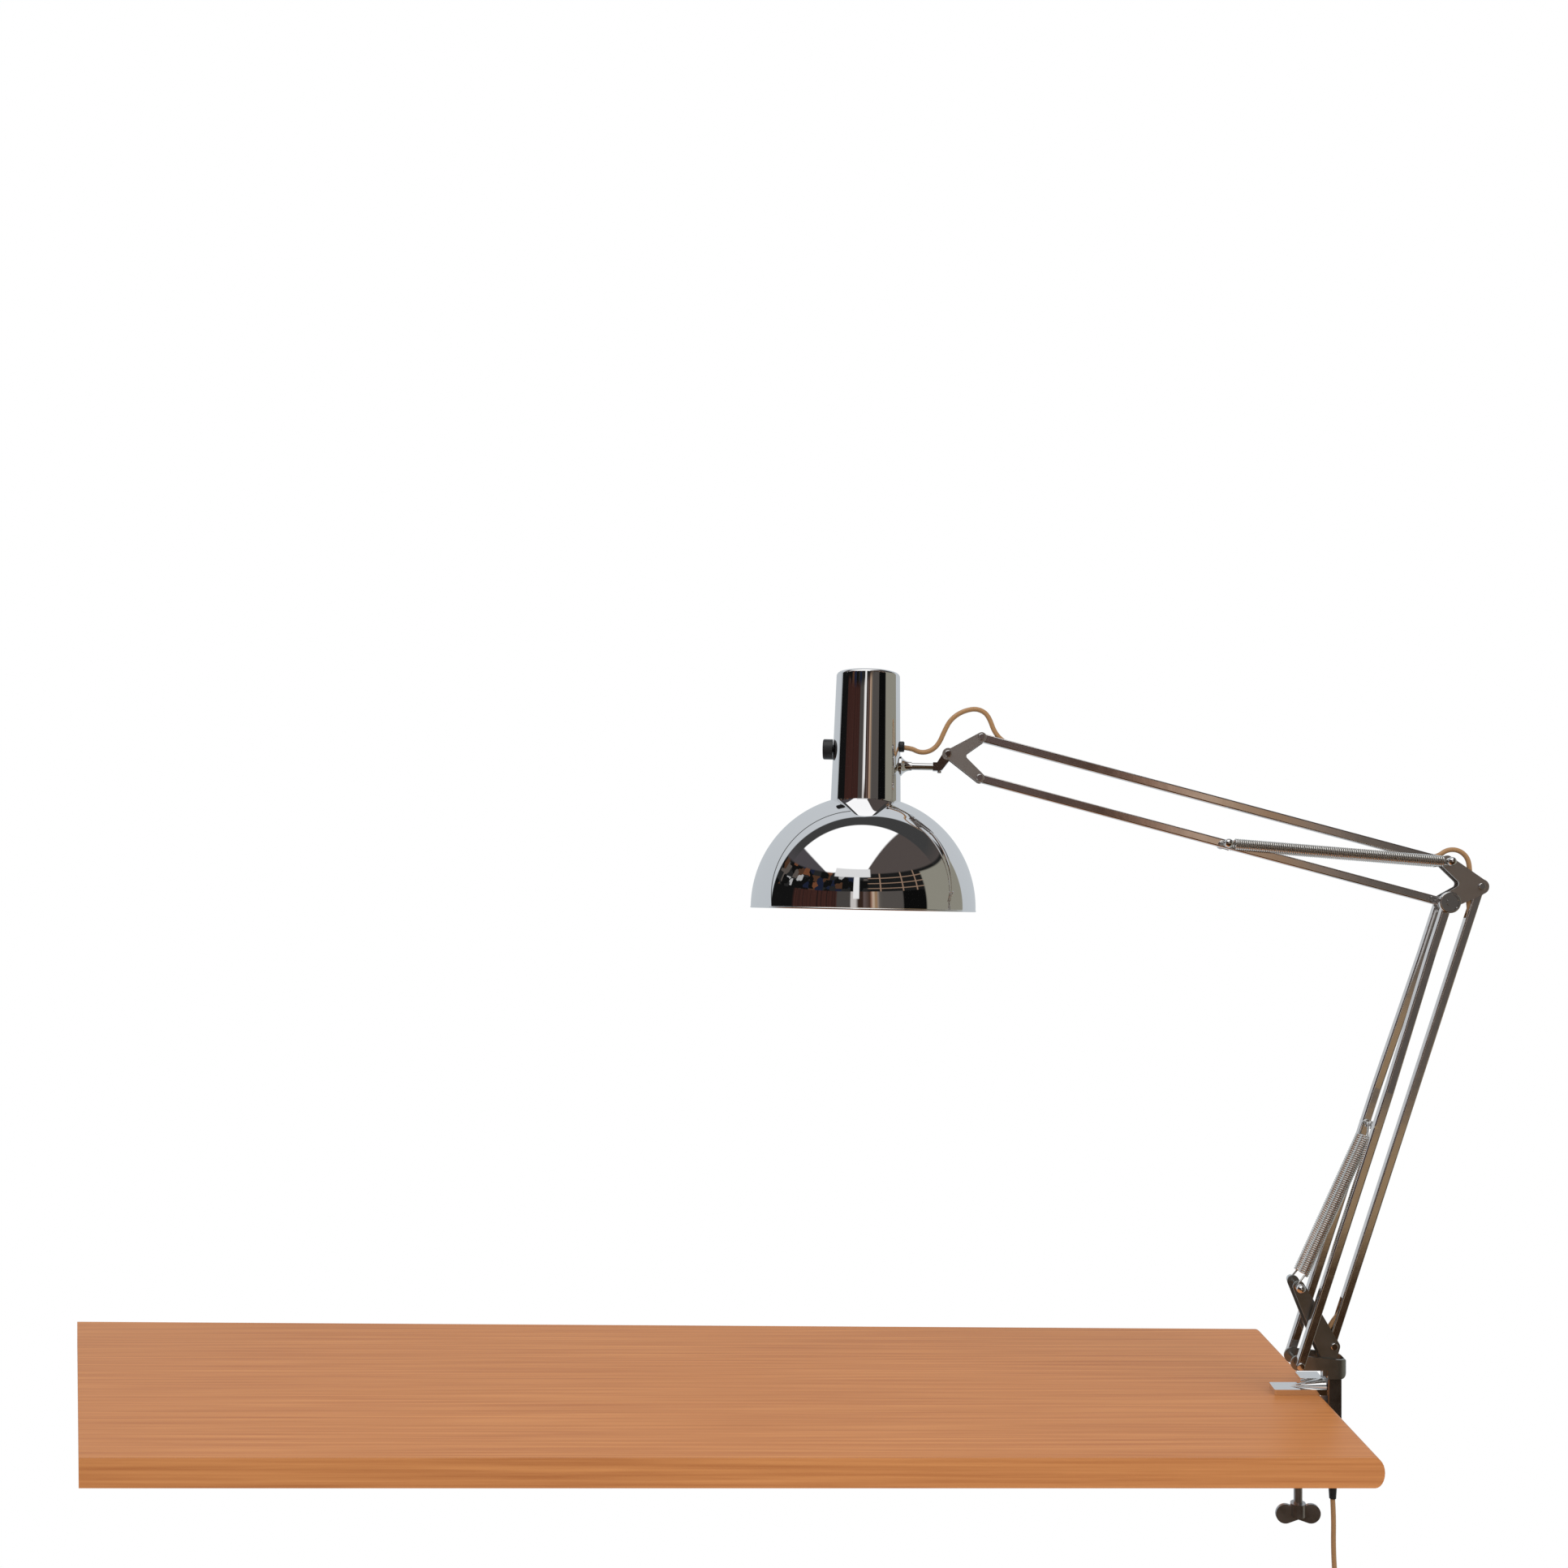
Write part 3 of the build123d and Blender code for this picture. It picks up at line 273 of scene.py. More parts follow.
# The room that the chrome reflects, along the horizon: degrees to the right of the viewer, and a colour
DOOR_PANEL = (0.27, 0.26, 0.215, 1)
HORIZON = [
    (-106, grey(0.007)),
    (-74, grey(0.007)),
    (-72, (0.050, 0.020, 0.016, 1)),
    (-25, (0.050, 0.020, 0.016, 1)),
    (-24, (0.065, 0.058, 0.054, 1)),
    (-11, (0.065, 0.058, 0.054, 1)),
    (-10, (0.58, 0.55, 0.53, 1)),
    (-4.5, (0.58, 0.55, 0.53, 1)),
    (-4, (0.036, 0.020, 0.014, 1)),
    (1.5, (0.036, 0.020, 0.014, 1)),
    (2.5, (0.12, 0.09, 0.085, 1)),
    (9, (0.050, 0.026, 0.015, 1)),
    (10.5, (0.32, 0.16, 0.105, 1)),
    (12, (0.60, 0.49, 0.39, 1)),
    (14, (0.30, 0.19, 0.11, 1)),
    (16, (0.30, 0.19, 0.11, 1)),
    (17, (0.24, 0.20, 0.18, 1)),
    (18.5, (0.10, 0.09, 0.08, 1)),
    (22, (0.085, 0.076, 0.070, 1)),
    (42.5, (0.085, 0.076, 0.070, 1)),
    (43.5, grey(0.004)),
    (69.5, grey(0.004)),
    (70.5, DOOR_PANEL),
]
BOXES = [
    (0.0, grey(0.006)),
    (0.45, (0.012, 0.016, 0.035, 1)),
    (0.55, (0.075, 0.036, 0.020, 1)),
    (0.70, grey(0.020)),
    (0.84, (0.16, 0.060, 0.028, 1)),
    (0.88, (0.10, 0.085, 0.075, 1)),
    (0.96, grey(0.42)),
]
SHELF_POSTS = (20, 44, 60)
SHELF_BOARDS = (0.32, 0.40, 0.48)
SHELF_WOOD = (0.30, 0.20, 0.14, 1)
COUNTER = (0.30, 0.21, 0.12, 1)
COUNTER_SHADE = (0.030, 0.014, 0.006, 1)
LEFT_SLOPE = (0.075, 0.068, 0.075, 1)
RIGHT_SLOPE = (0.085, 0.070, 0.065, 1)
WALL_LOW = (0.50, 0.54, 0.57, 1)
WALL_HIGH = (0.58, 0.61, 0.64, 1)

# Heights in that room, as the upright part of the direction that a mirror looks in
COUNTER_LOW_Z = -0.235
COUNTER_Z = -0.145
SHELF_Z = 0.27
DOOR_TOP_Z = 0.51
CEILING_Z = 0.55


def shelves_above(n, side, height):
    """Boxes and bottles to the left, and a nearly empty shelf to the right."""
    spread = n.add("ShaderNodeCombineXYZ")
    n.link(n.math("MULTIPLY", side, 0.034), spread.inputs[0])
    n.link(n.math("MULTIPLY", height, 2.6), spread.inputs[1])
    cells = n.add("ShaderNodeTexVoronoi", distance="CHEBYCHEV")
    cells.inputs["Scale"].default_value = 4.2
    n.link(spread.outputs[0], cells.inputs["Vector"])
    pick = n.add("ShaderNodeSeparateXYZ")
    n.link(cells.outputs["Color"], pick.inputs[0])
    boxes = n.ramp(pick.outputs[0], BOXES, "CONSTANT")
    posts = 0.0
    for degrees in SHELF_POSTS:
        posts = n.math("MAXIMUM", posts, n.between(side, degrees - 0.7, degrees + 0.7, 0.3))
    for level in SHELF_BOARDS:
        posts = n.math("MAXIMUM", posts, n.between(height, level - 0.006, level + 0.006, 0.003))
    shelf = n.mix(posts, grey(0.012), SHELF_WOOD)
    return n.mix(n.edge(side, 7, 1), boxes, shelf)


def ceiling_above(n, x, y, z):
    """A white ceiling with a dark slope on each side of it."""
    high = n.math("MAXIMUM", z, 0.05)
    cx, cy = n.math("DIVIDE", x, high), n.math("DIVIDE", y, high)
    right = n.math("SUBTRACT", cx, n.math("MULTIPLY", cy, 0.23))
    white = n.math("MULTIPLY", n.edge(cx, -1.0, 0.02), n.edge(right, 0.46, -0.015))
    white = n.math("MULTIPLY", white, n.between(cy, -1.3, 0.05, 0.015))
    slopes = n.mix(n.edge(x, 0.0, 0.05), LEFT_SLOPE, RIGHT_SLOPE)
    return n.mix(white, slopes, grey(1.15))


def wall_behind(n, x, y, z):
    """A light wall with thin dark seams."""
    wall = n.mix(n.step(z, -0.6, 0.9), WALL_LOW, WALL_HIGH)
    across = n.math("SUBTRACT", y, n.math("MULTIPLY", x, 0.16))
    lean = n.math("SUBTRACT", across, n.math("MULTIPLY", z, 0.86))
    right = n.math("MULTIPLY", n.between(lean, -0.02, 0.02, 0.004), n.step(x, 0.0, 0.01))
    across = n.math("ADD", y, n.math("MULTIPLY", x, 0.21))
    lean = n.math("SUBTRACT", across, n.math("MULTIPLY", z, 0.45))
    left = n.math("MULTIPLY", n.between(lean, -0.015, 0.015, 0.004), n.step(x, 0.0, -0.01))
    return n.mix(n.math("MAXIMUM", right, left), wall, grey(0.10))


def room_colour(n):
    """What a mirror sees: bands along the horizon, shelves, a ceiling and the wall behind the lamp."""
    way = n.add("ShaderNodeTexCoord").outputs["Generated"]
    split = n.add("ShaderNodeSeparateXYZ")
    n.link(way, split.inputs[0])
    x, y, z = split.outputs
    turn = n.math("ARCTAN2", x, n.math("MULTIPLY", y, -1.0))
    side = n.math("MULTIPLY", turn, 180 / math.pi)
    share = n.math("ADD", n.math("DIVIDE", side, 360.0), 0.5)
    bands = n.ramp(share, [(degrees / 360 + 0.5, colour) for degrees, colour in HORIZON])
    upright = n.add("ShaderNodeCombineXYZ")
    n.link(n.math("MULTIPLY", side, 0.5), upright.inputs[0])
    streaks = n.step(n.noise(1.0, 3.0, upright.outputs[0]), 0.50, 0.62)
    streaks = n.math("MULTIPLY", streaks, n.step(side, -23, -26))
    bands = n.mix(n.math("MULTIPLY", streaks, 0.8), bands, grey(0.007))
    low = n.mix(n.edge(z, COUNTER_LOW_Z, -0.010), COUNTER, COUNTER_SHADE)
    room = n.mix(n.edge(z, COUNTER_Z, -0.005), bands, low)
    room = n.mix(n.edge(z, SHELF_Z, 0.005), room, shelves_above(n, side, z))
    door = n.math("MULTIPLY", n.edge(side, 69, 1), n.edge(z, DOOR_TOP_Z, -0.01))
    room = n.mix(door, room, DOOR_PANEL)
    slit = n.math("MULTIPLY", n.between(side, -8, -2, 0.4), n.between(z, 0.15, 0.52, 0.01))
    room = n.mix(slit, room, grey(0.85))
    room = n.mix(n.edge(z, CEILING_Z, 0.01), room, ceiling_above(n, x, y, z))
    far = n.math("MULTIPLY", n.between(side, -30, 10, 0.6), n.between(z, 0.50, 0.62, 0.006))
    room = n.mix(far, room, grey(0.75))
    band = n.math("MULTIPLY", n.edge(y, 0.02, 0.01), n.edge(z, 0.6, 0.1))
    room = n.mix(band, room, grey(0.05))
    behind = n.math("SUBTRACT", y, n.math("MULTIPLY", n.math("MAXIMUM", x, 0.0), 0.35))
    return n.mix(n.edge(behind, 0.24, 0.01), room, wall_behind(n, x, y, z))


def make_world():
    """White to the camera, a plain light to dull surfaces and the room to mirrors."""
    world = bpy.data.worlds.new("room")
    scene.world = world
    world.use_nodes = True
    n = Nodes(world.node_tree)
    path = n.add("ShaderNodeLightPath")
    plain = n.add("ShaderNodeBackground")
    plain.inputs["Color"].default_value = grey(1.0)
    plain.inputs["Strength"].default_value = ROOM_LIGHT
    mirrored = n.add("ShaderNodeBackground")
    n.link(room_colour(n), mirrored.inputs["Color"])
    white = n.add("ShaderNodeBackground")
    white.inputs["Color"].default_value = grey(1.0)
    glossy = n.add("ShaderNodeMixShader")
    n.link(path.outputs["Is Glossy Ray"], glossy.inputs[0])
    n.link(plain.outputs[0], glossy.inputs[1])
    n.link(mirrored.outputs[0], glossy.inputs[2])
    seen = n.add("ShaderNodeMixShader")
    clear = n.math("MAXIMUM", path.outputs["Is Camera Ray"], path.outputs["Is Transmission Ray"])
    n.link(clear, seen.inputs[0])
    n.link(glossy.outputs[0], seen.inputs[1])
    n.link(white.outputs[0], seen.inputs[2])
    n.link(seen.outputs[0], n.add("ShaderNodeOutputWorld").inputs["Surface"])


def make_lights():
    for name, place, size, power in LIGHTS:
        data = bpy.data.lights.new(name, "AREA")
        data.size = size
        data.energy = power
        light = bpy.data.objects.new(name, data)
        light.location = place
        light.rotation_euler = (LIGHT_AIM - light.location).to_track_quat("-Z", "Y").to_euler()
        light.visible_glossy = False
        scene.collection.objects.link(light)


# Materials
DRIFT_SCALE = 28.0
ROUGH_SCALE = 90.0
BUMP_DEPTH = 0.0004


def surface(name, colour, metallic=0.0, roughness=0.4, bump=0.0, bump_scale=200.0, vary=0.08, coat=0.0):
    """A material with a little drift in colour and roughness, and a fine bump."""
    material = bpy.data.materials.new(name)
    material.use_nodes = True
    n = Nodes(material.node_tree)
    shader = n.add("ShaderNodeBsdfPrincipled")
    place = n.add("ShaderNodeTexCoord").outputs["Object"]
    drift = n.noise(DRIFT_SCALE, 4.0, place)
    darker = tuple(c * (1 - vary) for c in colour[:3]) + (1,)
    n.link(n.mix(drift, colour, darker), shader.inputs["Base Color"])
    rough = n.add("ShaderNodeMapRange")
    n.link(n.noise(ROUGH_SCALE, 5.0, place), rough.inputs["Value"])
    rough.inputs["From Min"].default_value = 0.35
    rough.inputs["From Max"].default_value = 0.75
    rough.inputs["To Min"].default_value = roughness
    rough.inputs["To Max"].default_value = roughness * 1.5
    n.link(rough.outputs["Result"], shader.inputs["Roughness"])
    shader.inputs["Metallic"].default_value = metallic
    shader.inputs["Coat Weight"].default_value = coat
    if bump:
        node = n.add("ShaderNodeBump")
        node.inputs["Strength"].default_value = bump
        node.inputs["Distance"].default_value = BUMP_DEPTH
        n.link(n.noise(bump_scale, 4.0, place), node.inputs["Height"])
        n.link(node.outputs["Normal"], shader.inputs["Normal"])
    n.link(shader.outputs[0], n.add("ShaderNodeOutputMaterial").inputs["Surface"])
    return material


# Each one: name, colour, metal, roughness, bump, scale of the bump, drift in colour and clear coat
CHROME = surface("polished_chrome", (0.86, 0.86, 0.86, 1), 1.0, 0.045, 0.01, 60.0, 0.04)
SHADE_CHROME = surface("shade_chrome", (0.90, 0.90, 0.905, 1), 1.0, 0.018, 0.004, 14.0, 0.02)
ROD_CHROME = surface("rod_chrome", (0.92, 0.88, 0.86, 1), 1.0, 0.09, 0.05, 120.0, 0.10)
PLATE_SATIN = surface("satin_plate", (0.62, 0.59, 0.57, 1), 1.0, 0.30, 0.05, 200.0, 0.10)
# Hoop and lever plates: a darker plate colour than the satin plates, with more drift in colour and more bump
DARKER_BASE_PLATE = surface("darker_base_plate", (0.40, 0.40, 0.38, 1), 1.0, 0.30, 0.12, 90.0, 0.30)
# Clamp: chrome darkened to a colour of 0.30, painted shade that makes the clamp look dark
CLAMP_METAL = surface("clamp_chrome_painted_shade", (0.30, 0.30, 0.31, 1), 1.0, 0.20, 0.10, 160.0, 0.25)
SCREW_STEEL = surface("screw_steel", (0.55, 0.55, 0.56, 1), 1.0, 0.28, 0.12, 300.0, 0.15)
SPRING_STEEL = surface("spring_steel", (0.88, 0.87, 0.84, 1), 1.0, 0.22, 0.05, 400.0, 0.12)
CORD_SKIN = surface("tan_cord", (0.34, 0.185, 0.080, 1), 0.0, 0.30, 0.0, 100.0, 0.10, 0.5)
BLACK = surface("black_plastic", (0.018, 0.018, 0.019, 1), 0.0, 0.30, 0.08, 500.0, 0.2)
HOLDER_PLASTIC = surface("holder_plastic", (0.04, 0.038, 0.036, 1), 0.0, 0.28, 0.05, 300.0, 0.2)
BRASS = surface("brass", (0.78, 0.60, 0.30, 1), 1.0, 0.24, 0.06, 300.0, 0.1)
OPAL = surface("opal_glass", (0.88, 0.88, 0.86, 1), 0.0, 0.16, 0.0, 100.0, 0.02, 0.5)

FINISHES = {
    "chrome": CHROME,
    "shade_chrome": SHADE_CHROME,
    "clamp_metal": CLAMP_METAL,
    "screw_steel": SCREW_STEEL,
    "spring_steel": SPRING_STEEL,
    "cord": CORD_SKIN,
    "black_plastic": BLACK,
    "brass": BRASS,
    "bulb_glass": OPAL,
}
RODS = ("front_lower_rod", "rear_lower_rod", "lower_link_rod", "upper_rod", "upper_link_rod")
SATIN_PLATES = ("front_elbow_plate", "rear_elbow_plate", "front_head_plate", "rear_head_plate")
DARKER_BASE_PLATES = ("base_hoop", "front_lever_plate", "rear_lever_plate")


def dress(obj, *materials):
    obj.data.materials.clear()
    for material in materials:
        obj.data.materials.append(material)


def dress_nodes():
    for entry in frame["record"]["subparts"]:
        dress(nodes[entry["node"]], FINISHES[entry["material_slot"]])
    for names, material in ((RODS, ROD_CHROME), (SATIN_PLATES, PLATE_SATIN), (DARKER_BASE_PLATES, DARKER_BASE_PLATE)):
        for name in names:
            dress(nodes[name], material)
    dress(nodes["lampholder"], HOLDER_PLASTIC)


# Mesh makers
SHARP_EDGE = math.radians(40)
SHARP_CAP = math.radians(60)


def new_mesh(name, verts, faces, smooth=True):
    mesh = bpy.data.meshes.new(name)
    mesh.from_pydata([tuple(v) for v in verts], [], faces)
    mesh.update()
    if smooth:
        mesh.shade_smooth()
    obj = bpy.data.objects.new(name, mesh)
    scene.collection.objects.link(obj)
    return obj


def lathe(name, profile, segments):
    """Turns a closed profile of (radius, height) points round Z."""
    verts, faces = [], []
    count = len(profile)
    for k in range(segments):
        turn = 2 * math.pi * k / segments
        for r, h in profile:
            verts.append((r * math.cos(turn), r * math.sin(turn), h))
    for k in range(segments):
        after = (k + 1) % segments
        for i in range(count):
            j = (i + 1) % count
            faces.append((k * count + i, after * count + i, after * count + j, k * count + j))
    obj = new_mesh(name, verts, faces)
    joined = bmesh.new()
    joined.from_mesh(obj.data)
    bmesh.ops.remove_doubles(joined, verts=joined.verts, dist=1e-7)
    bmesh.ops.recalc_face_normals(joined, faces=joined.faces)
    joined.to_mesh(obj.data)
    joined.free()
    return obj


def transport(points):
    """A normal at each point of a path, carried along without twist."""
    ways = []
    for i in range(len(points)):
        a, b = points[max(i - 1, 0)], points[min(i + 1, len(points) - 1)]
        ways.append((b - a).normalized())
    normal = ways[0].orthogonal().normalized()
    normals = []
    for way in ways:
        normal = (normal - way * normal.dot(way)).normalized()
        normals.append(normal)
    return ways, normals


def tube_mesh(name, points, radius, sides, part=None):
    """A round tube along points, or along a part of them, with capped ends."""
    ways, normals = transport(points)
    first, last = part or (0, len(points) - 1)
    verts, faces = [], []
    for i in range(first, last + 1):
        across = ways[i].cross(normals[i])
        for k in range(sides):
            turn = 2 * math.pi * k / sides
            verts.append(points[i] + (normals[i] * math.cos(turn) + across * math.sin(turn)) * radius)
    rings = last - first
    for i in range(rings):
        for k in range(sides):
            m = (k + 1) % sides
            faces.append((i * sides + k, i * sides + m, (i + 1) * sides + m, (i + 1) * sides + k))
    faces.append(tuple(reversed(range(sides))))
    faces.append(tuple(rings * sides + k for k in range(sides)))
    tube = new_mesh(name, verts, faces)
    tube.data.set_sharp_from_angle(angle=SHARP_CAP)
    return tube


# Cords
def spline_of(name, points, bevel=0.0, resolution=10):
    """A smooth curve with these points, in millimetres, as its control points."""
    curve = bpy.data.curves.new(name, "CURVE")
    curve.dimensions = "3D"
    curve.resolution_u = resolution
    curve.bevel_depth = bevel
    curve.bevel_resolution = 5
    curve.use_fill_caps = bevel > 0
    spline = curve.splines.new("NURBS")
    spline.points.add(len(points) - 1)
    for target, point in zip(spline.points, points):
        target.co = (point[0] * MM, point[1] * MM, point[2] * MM, 1)
    spline.order_u = 3
    spline.use_endpoint_u = True
    obj = bpy.data.objects.new(name, curve)
    scene.collection.objects.link(obj)
    return obj


def line_of(points):
    """The points of that smooth curve, in metres."""
    obj = spline_of("route", points)
    mesh = bpy.data.meshes.new_from_object(obj.evaluated_get(bpy.context.evaluated_depsgraph_get()))
    line = [v.co.copy() for v in mesh.vertices]
    bpy.data.objects.remove(obj)
    bpy.data.meshes.remove(mesh)
    return line


def bent_cord(name, line, part, node):
    """One stretch of a cord loop: a round tube along a part of the line, which replaces the node's solid and hides
    it.
    """
    piece = tube_mesh(name, line, CORD_R, CORD_SIDES, part)
    dress(piece, CORD_SKIN)
    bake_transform(piece)
    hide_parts(node)


def nearest(line, point):
    spot = Vector(point) * MM
    return min(range(len(line)), key=lambda i: (line[i] - spot).length)


def along_rod(low, high, *places):
    """Points inside a link rod, in millimetres, at those distances from its lower pivot."""
    start, end = joint_at[low], joint_at[high]
    way = (end - start).normalized()
    return [tuple((start + way * s * MM) / MM) for s in places]


def make_head_cord():
    grommet_x = -HEAD_REACH + tube_r(GROMMET_UP)
    inner = tuple(HEAD @ Vector((grommet_x - GROMMET_INSIDE, 0, GROMMET_UP)) / MM)
    outer = tuple(HEAD @ Vector((grommet_x + GROMMET_OUTSIDE, 0, GROMMET_UP)) / MM)
    into_rod = along_rod("upper_arm_pivot", "head_level", UPPER_ROD_ENTRY, ROD_CORD_HIGH)
    line = line_of([inner, outer] + HEAD_LOOP + into_rod)
    first, second = (nearest(line, seam) for seam in HEAD_SEAMS)
    bent_cord("head_cord_start", line, (0, first), "head_cord")
    bent_cord("head_cord_rise", line, (first, second), "head_cord")
    bent_cord("head_cord_entry", line, (second, len(line) - 1), "head_cord")


def make_elbow_cord():
    out_of_rod = along_rod("upper_arm_pivot", "head_level", ROD_CORD_LOW)
    into_rod = along_rod("lower_arm_pivot", "elbow_level", LOWER_ROD_ENTRY, ROD_CORD_HIGH)
    line = line_of(out_of_rod + ELBOW_LOOP + into_rod)
    seam = nearest(line, ELBOW_SEAM)
    bent_cord("elbow_cord_over", line, (0, seam), "elbow_cord")
    bent_cord("elbow_cord_down", line, (seam, len(line) - 1), "elbow_cord")


def make_base_cord():
    out_of_rod = along_rod("lower_arm_pivot", "elbow_level", ROD_CORD_LOW, LOWER_ROD_EXIT)
    line = line_of(out_of_rod + BASE_STRETCH + BASE_END)
    bent_cord("base_cord_drop", line, (0, len(line) - 1), "base_cord")


def coil_points():
    """The coil's turns: in along the floor, up a layer, and out again on top."""
    x, y, z = COIL_START
    y -= 2 * CORD_R / MM
    swell = 1 / math.cos(math.pi / 2 / COIL_POINTS)
    half_turns = 2 * COIL_TURNS
    radius = COIL_OUTER
    side = -1
    points = [COIL_START]
    for k in range(2 * half_turns + 1):
        climb = COIL_STEP if k == half_turns else 0.0
        centre = x + side * radius
        for step in range(COIL_POINTS):
            turn = math.pi * (step + 0.5) / COIL_POINTS
            across = -side * math.cos(turn) * radius * swell
            back = side * math.sin(turn) * radius * swell
            points.append((centre + across, y + back, z + climb * (step + 0.5) / COIL_POINTS))
        x += 2 * side * radius
        z += climb
        side = -side
        radius += -COIL_STEP / 2 if k < half_turns else COIL_STEP / 2
    points += [(x, y + PLUG_TAIL_BEND, z), (x, y + PLUG_TAIL, z)]
    return points


def make_mains_cord():
    cord = spline_of("mains_lead", [SLEEVE_END] + HANGING + coil_points(), CORD_R, 6)
    dress(cord, CORD_SKIN)
    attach(cord, "clamp")
    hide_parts("mains_cord", "cord_coil")


# Springs
def spring_points(start, end, hook, near_y, phase):
    """An eye round each pin, and close curls on a line from near_y at the start to the end."""
    foot = Vector((start.x, math.copysign(near_y, start.y), start.z))
    way = (end - foot).normalized()
    flat = Vector((way.x, 0, way.z)).normalized()
    up = Vector((-flat.z, 0, flat.x))
    side = way.cross(up).normalized()
    lift = side.cross(way)
    mid_r = SPRING_R - WIRE_R
    body = (end - foot).length - 2 * hook
    steps = round(body / SPRING_PITCH) * CURL_STEPS

    def eye(centre, outward):
        points = []
        for k in range(EYE_STEPS + 1):
            turn = EYE_SWEEP * k / EYE_STEPS
            points.append(centre + (outward * math.cos(turn) - up * math.sin(turn)) * PIN_EYE_R)
        return points

    points = eye(start, flat)
    first = foot + way * hook
    for k in range(steps + 1):
        turn = 2 * math.pi * k / CURL_STEPS + phase
        advance = body * k / steps
        points.append(first + way * advance + lift * mid_r * math.cos(turn) + side * mid_r * math.sin(turn))
    return points + list(reversed(eye(end, -flat)))


def make_spring(name, start, end, hook, near_y, phase, near_body, far_body):
    points = spring_points(start, end, hook, near_y, phase)
    piece = tube_mesh(name.replace("spring", "coil_spring"), points, WIRE_R, WIRE_SIDES)
    dress(piece, SPRING_STEEL)
    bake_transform(piece)
    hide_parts(name)


def middle(node):
    low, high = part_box(node)
    spot = (Vector(low) + Vector(high)) / 2
    return Vector((spot.x, 0, spot.z))


def make_springs():
    elbow_pin, upper_cross = middle("elbow_spring_pin"), middle("upper_cross_pin")
    lever_pin, lower_cross = middle("lever_pin"), middle("lower_cross_pin")
    for where, side in (("front", -1), ("rear", 1)):
        beside = Vector((0, side * UPPER_SPRING_Y, 0))
        start, end = elbow_pin + beside, upper_cross + beside
        bodies = "upper_spring_near", "upper_spring_far"
        make_spring(where + "_upper_spring", start, end, UPPER_HOOK, UPPER_SPRING_Y, 0, *bodies)
        start = lever_pin + Vector((0, side * LEVER_SPRING_Y, 0))
        end = lower_cross + Vector((0, side * CROSS_SPRING_Y, 0))
        bodies = "lower_spring_near", "lower_spring_far"
        outward = -side * math.pi / 2
        make_spring(where + "_lower_spring", start, end, LOWER_HOOK, COIL_NEAR_Y, outward, *bodies)


# Head shells, turned smooth
def tube_r(height):
    share = (TUBE_UP - height) / (TUBE_UP - TUBE_LOW)
    return TUBE_TOP_R + (TUBE_BOTTOM_R - TUBE_TOP_R) * share


def arc(centre, radius, start, end, count):
    """Points of an arc in the (radius, height) plane, from start to end degrees."""
    points = []
    for k in range(count + 1):
        turn = math.radians(start + (end - start) * k / count)
        points.append((centre[0] + radius * math.cos(turn), centre[1] + radius * math.sin(turn)))
    return points


def make_shells():
    inner_edge = TUBE_EDGE - TUBE_WALL
    top_r = tube_r(TUBE_UP)
    on_shade = math.sqrt(SHADE_R**2 - TUBE_BOTTOM_R**2) - SHADE_DROP
    profile = [(TUBE_BOTTOM_R, on_shade)]
    profile += arc((top_r - TUBE_EDGE, TUBE_UP - TUBE_EDGE), TUBE_EDGE, 0, 90, 10)
    profile += [(0.0, TUBE_UP), (0.0, TUBE_UP - TUBE_WALL)]
    profile += arc((top_r - TUBE_EDGE, TUBE_UP - TUBE_EDGE), inner_edge, 90, 0, 6)
    profile += [(TUBE_BOTTOM_R - TUBE_WALL, on_shade + TUBE_SEAT)]
    tube = lathe("housing_shell", profile, TUBE_SEGMENTS)
    place_on_head(tube, "housing_tube")

    hole = math.degrees(math.acos(SHADE_HOLE_R / SHADE_R))
    profile = arc((0, 0), SHADE_R, 0, hole, 60)
    profile += arc((0, 0), SHADE_R - SHADE_WALL, hole, 0, 60)
    profile += arc((SHADE_R - SHADE_WALL / 2, -SHADE_LIP), SHADE_BEAD_R, 120, 420, 14)
    shade = lathe("shade_dome", profile, SHADE_SEGMENTS)
    shade.data.transform(Matrix.Translation((0, 0, -SHADE_DROP)))
    place_on_head(shade, "shade")


def place_on_head(piece, node):
    piece.data.transform(HEAD @ Matrix.Translation((-HEAD_REACH, 0, 0)))
    piece.data.set_sharp_from_angle(angle=SHARP_EDGE)
    dress(piece, SHADE_CHROME)
    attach(piece, "head")
    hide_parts(node)


# Stage: the floor and the table that the clamp holds
TABLE_THICK = 0.025
TABLE_ROUND = 0.008
TABLE_LEFT = [(-1.278, 0.209), (-1.048, -0.150)]
TABLE_RIGHT = [(0.0150, 0.184), (0.0285, -0.150)]
ROUND_STEPS = 12
FLOOR_LOW = (-0.70, -0.60)
FLOOR_HIGH = (0.45, 0.11)
GRAIN_STRETCH = (0.9, 60.0, 60.0)
WOOD_DARK = (0.38, 0.130, 0.036, 1)
WOOD_LIGHT = (0.61, 0.26, 0.086, 1)
WOOD_WARM = (0.52, 0.185, 0.054, 1)


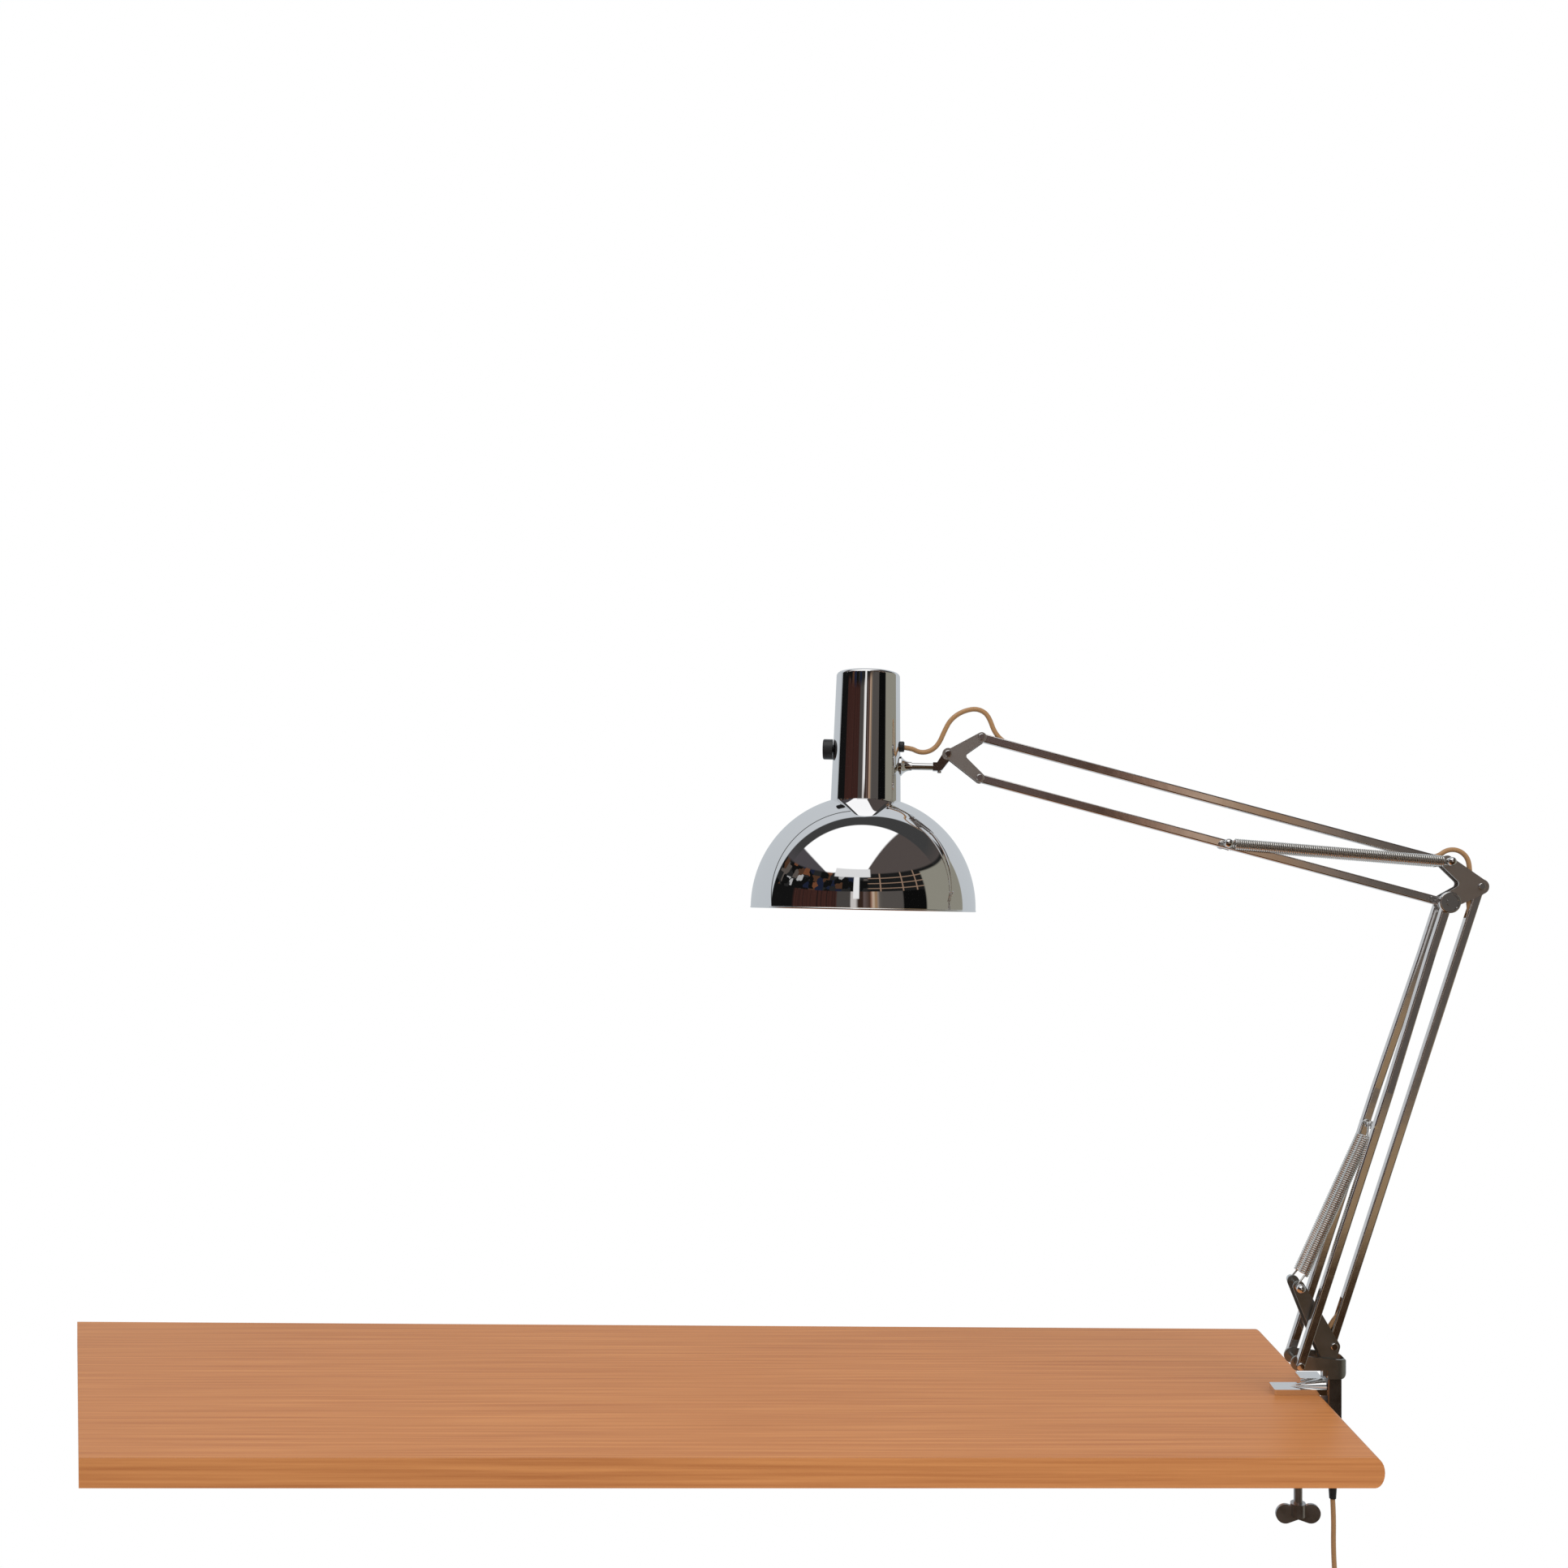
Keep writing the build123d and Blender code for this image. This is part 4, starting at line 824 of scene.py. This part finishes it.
def wood():
    material = bpy.data.materials.new("table_wood")
    material.use_nodes = True
    n = Nodes(material.node_tree)
    shader = n.add("ShaderNodeBsdfPrincipled")
    place = n.add("ShaderNodeTexCoord").outputs["Object"]
    stretch = n.add("ShaderNodeMapping")
    stretch.inputs["Scale"].default_value = GRAIN_STRETCH
    n.link(place, stretch.inputs["Vector"])
    grain = n.noise(4.0, 8.0, stretch.outputs[0], 0.60)
    tone = n.noise(2.2, 2.0, place)
    base = n.mix(n.step(grain, 0.30, 0.72), WOOD_DARK, WOOD_LIGHT)
    n.link(n.mix(n.math("MULTIPLY", tone, 0.35), base, WOOD_WARM), shader.inputs["Base Color"])
    shader.inputs["Roughness"].default_value = 0.42
    shader.inputs["Specular IOR Level"].default_value = 0.3
    n.link(shader.outputs[0], n.add("ShaderNodeOutputMaterial").inputs["Surface"])
    return material


def make_stage():
    outline = []
    for k in range(ROUND_STEPS + 1):
        turn = math.radians(90 - 180 * k / ROUND_STEPS)
        outline.append((TABLE_ROUND * (math.cos(turn) - 1), TABLE_THICK / 2 * (math.sin(turn) - 1)))
    verts = []
    for left, right in zip(TABLE_LEFT, TABLE_RIGHT):
        verts += [(left[0], left[1], 0.0)]
        verts += [(right[0] + x, right[1], z) for x, z in outline]
        verts += [(left[0], left[1], -TABLE_THICK)]
    count = len(outline) + 2
    faces = [tuple(range(count)), tuple(reversed(range(count, 2 * count)))]
    for k in range(count):
        after = (k + 1) % count
        faces.append((k, k + count, after + count, after))
    table = new_mesh("table_top", verts, faces)
    table.data.set_sharp_from_angle(angle=SHARP_EDGE)
    dress(table, wood())
    table.visible_shadow = False
    (x0, y0), (x1, y1) = FLOOR_LOW, FLOOR_HIGH
    corners = [(x0, y0), (x1, y0), (x1, y1), (x0, y1)]
    floor = new_mesh("floor", [(x, y, FLOOR_Z) for x, y in corners], [(0, 1, 2, 3)], smooth=False)
    floor.is_shadow_catcher = True
    floor.visible_glossy = False


make_camera()
make_world()
make_lights()
dress_nodes()
make_head_cord()
make_elbow_cord()
make_base_cord()
make_mains_cord()
make_springs()
make_shells()
make_stage()
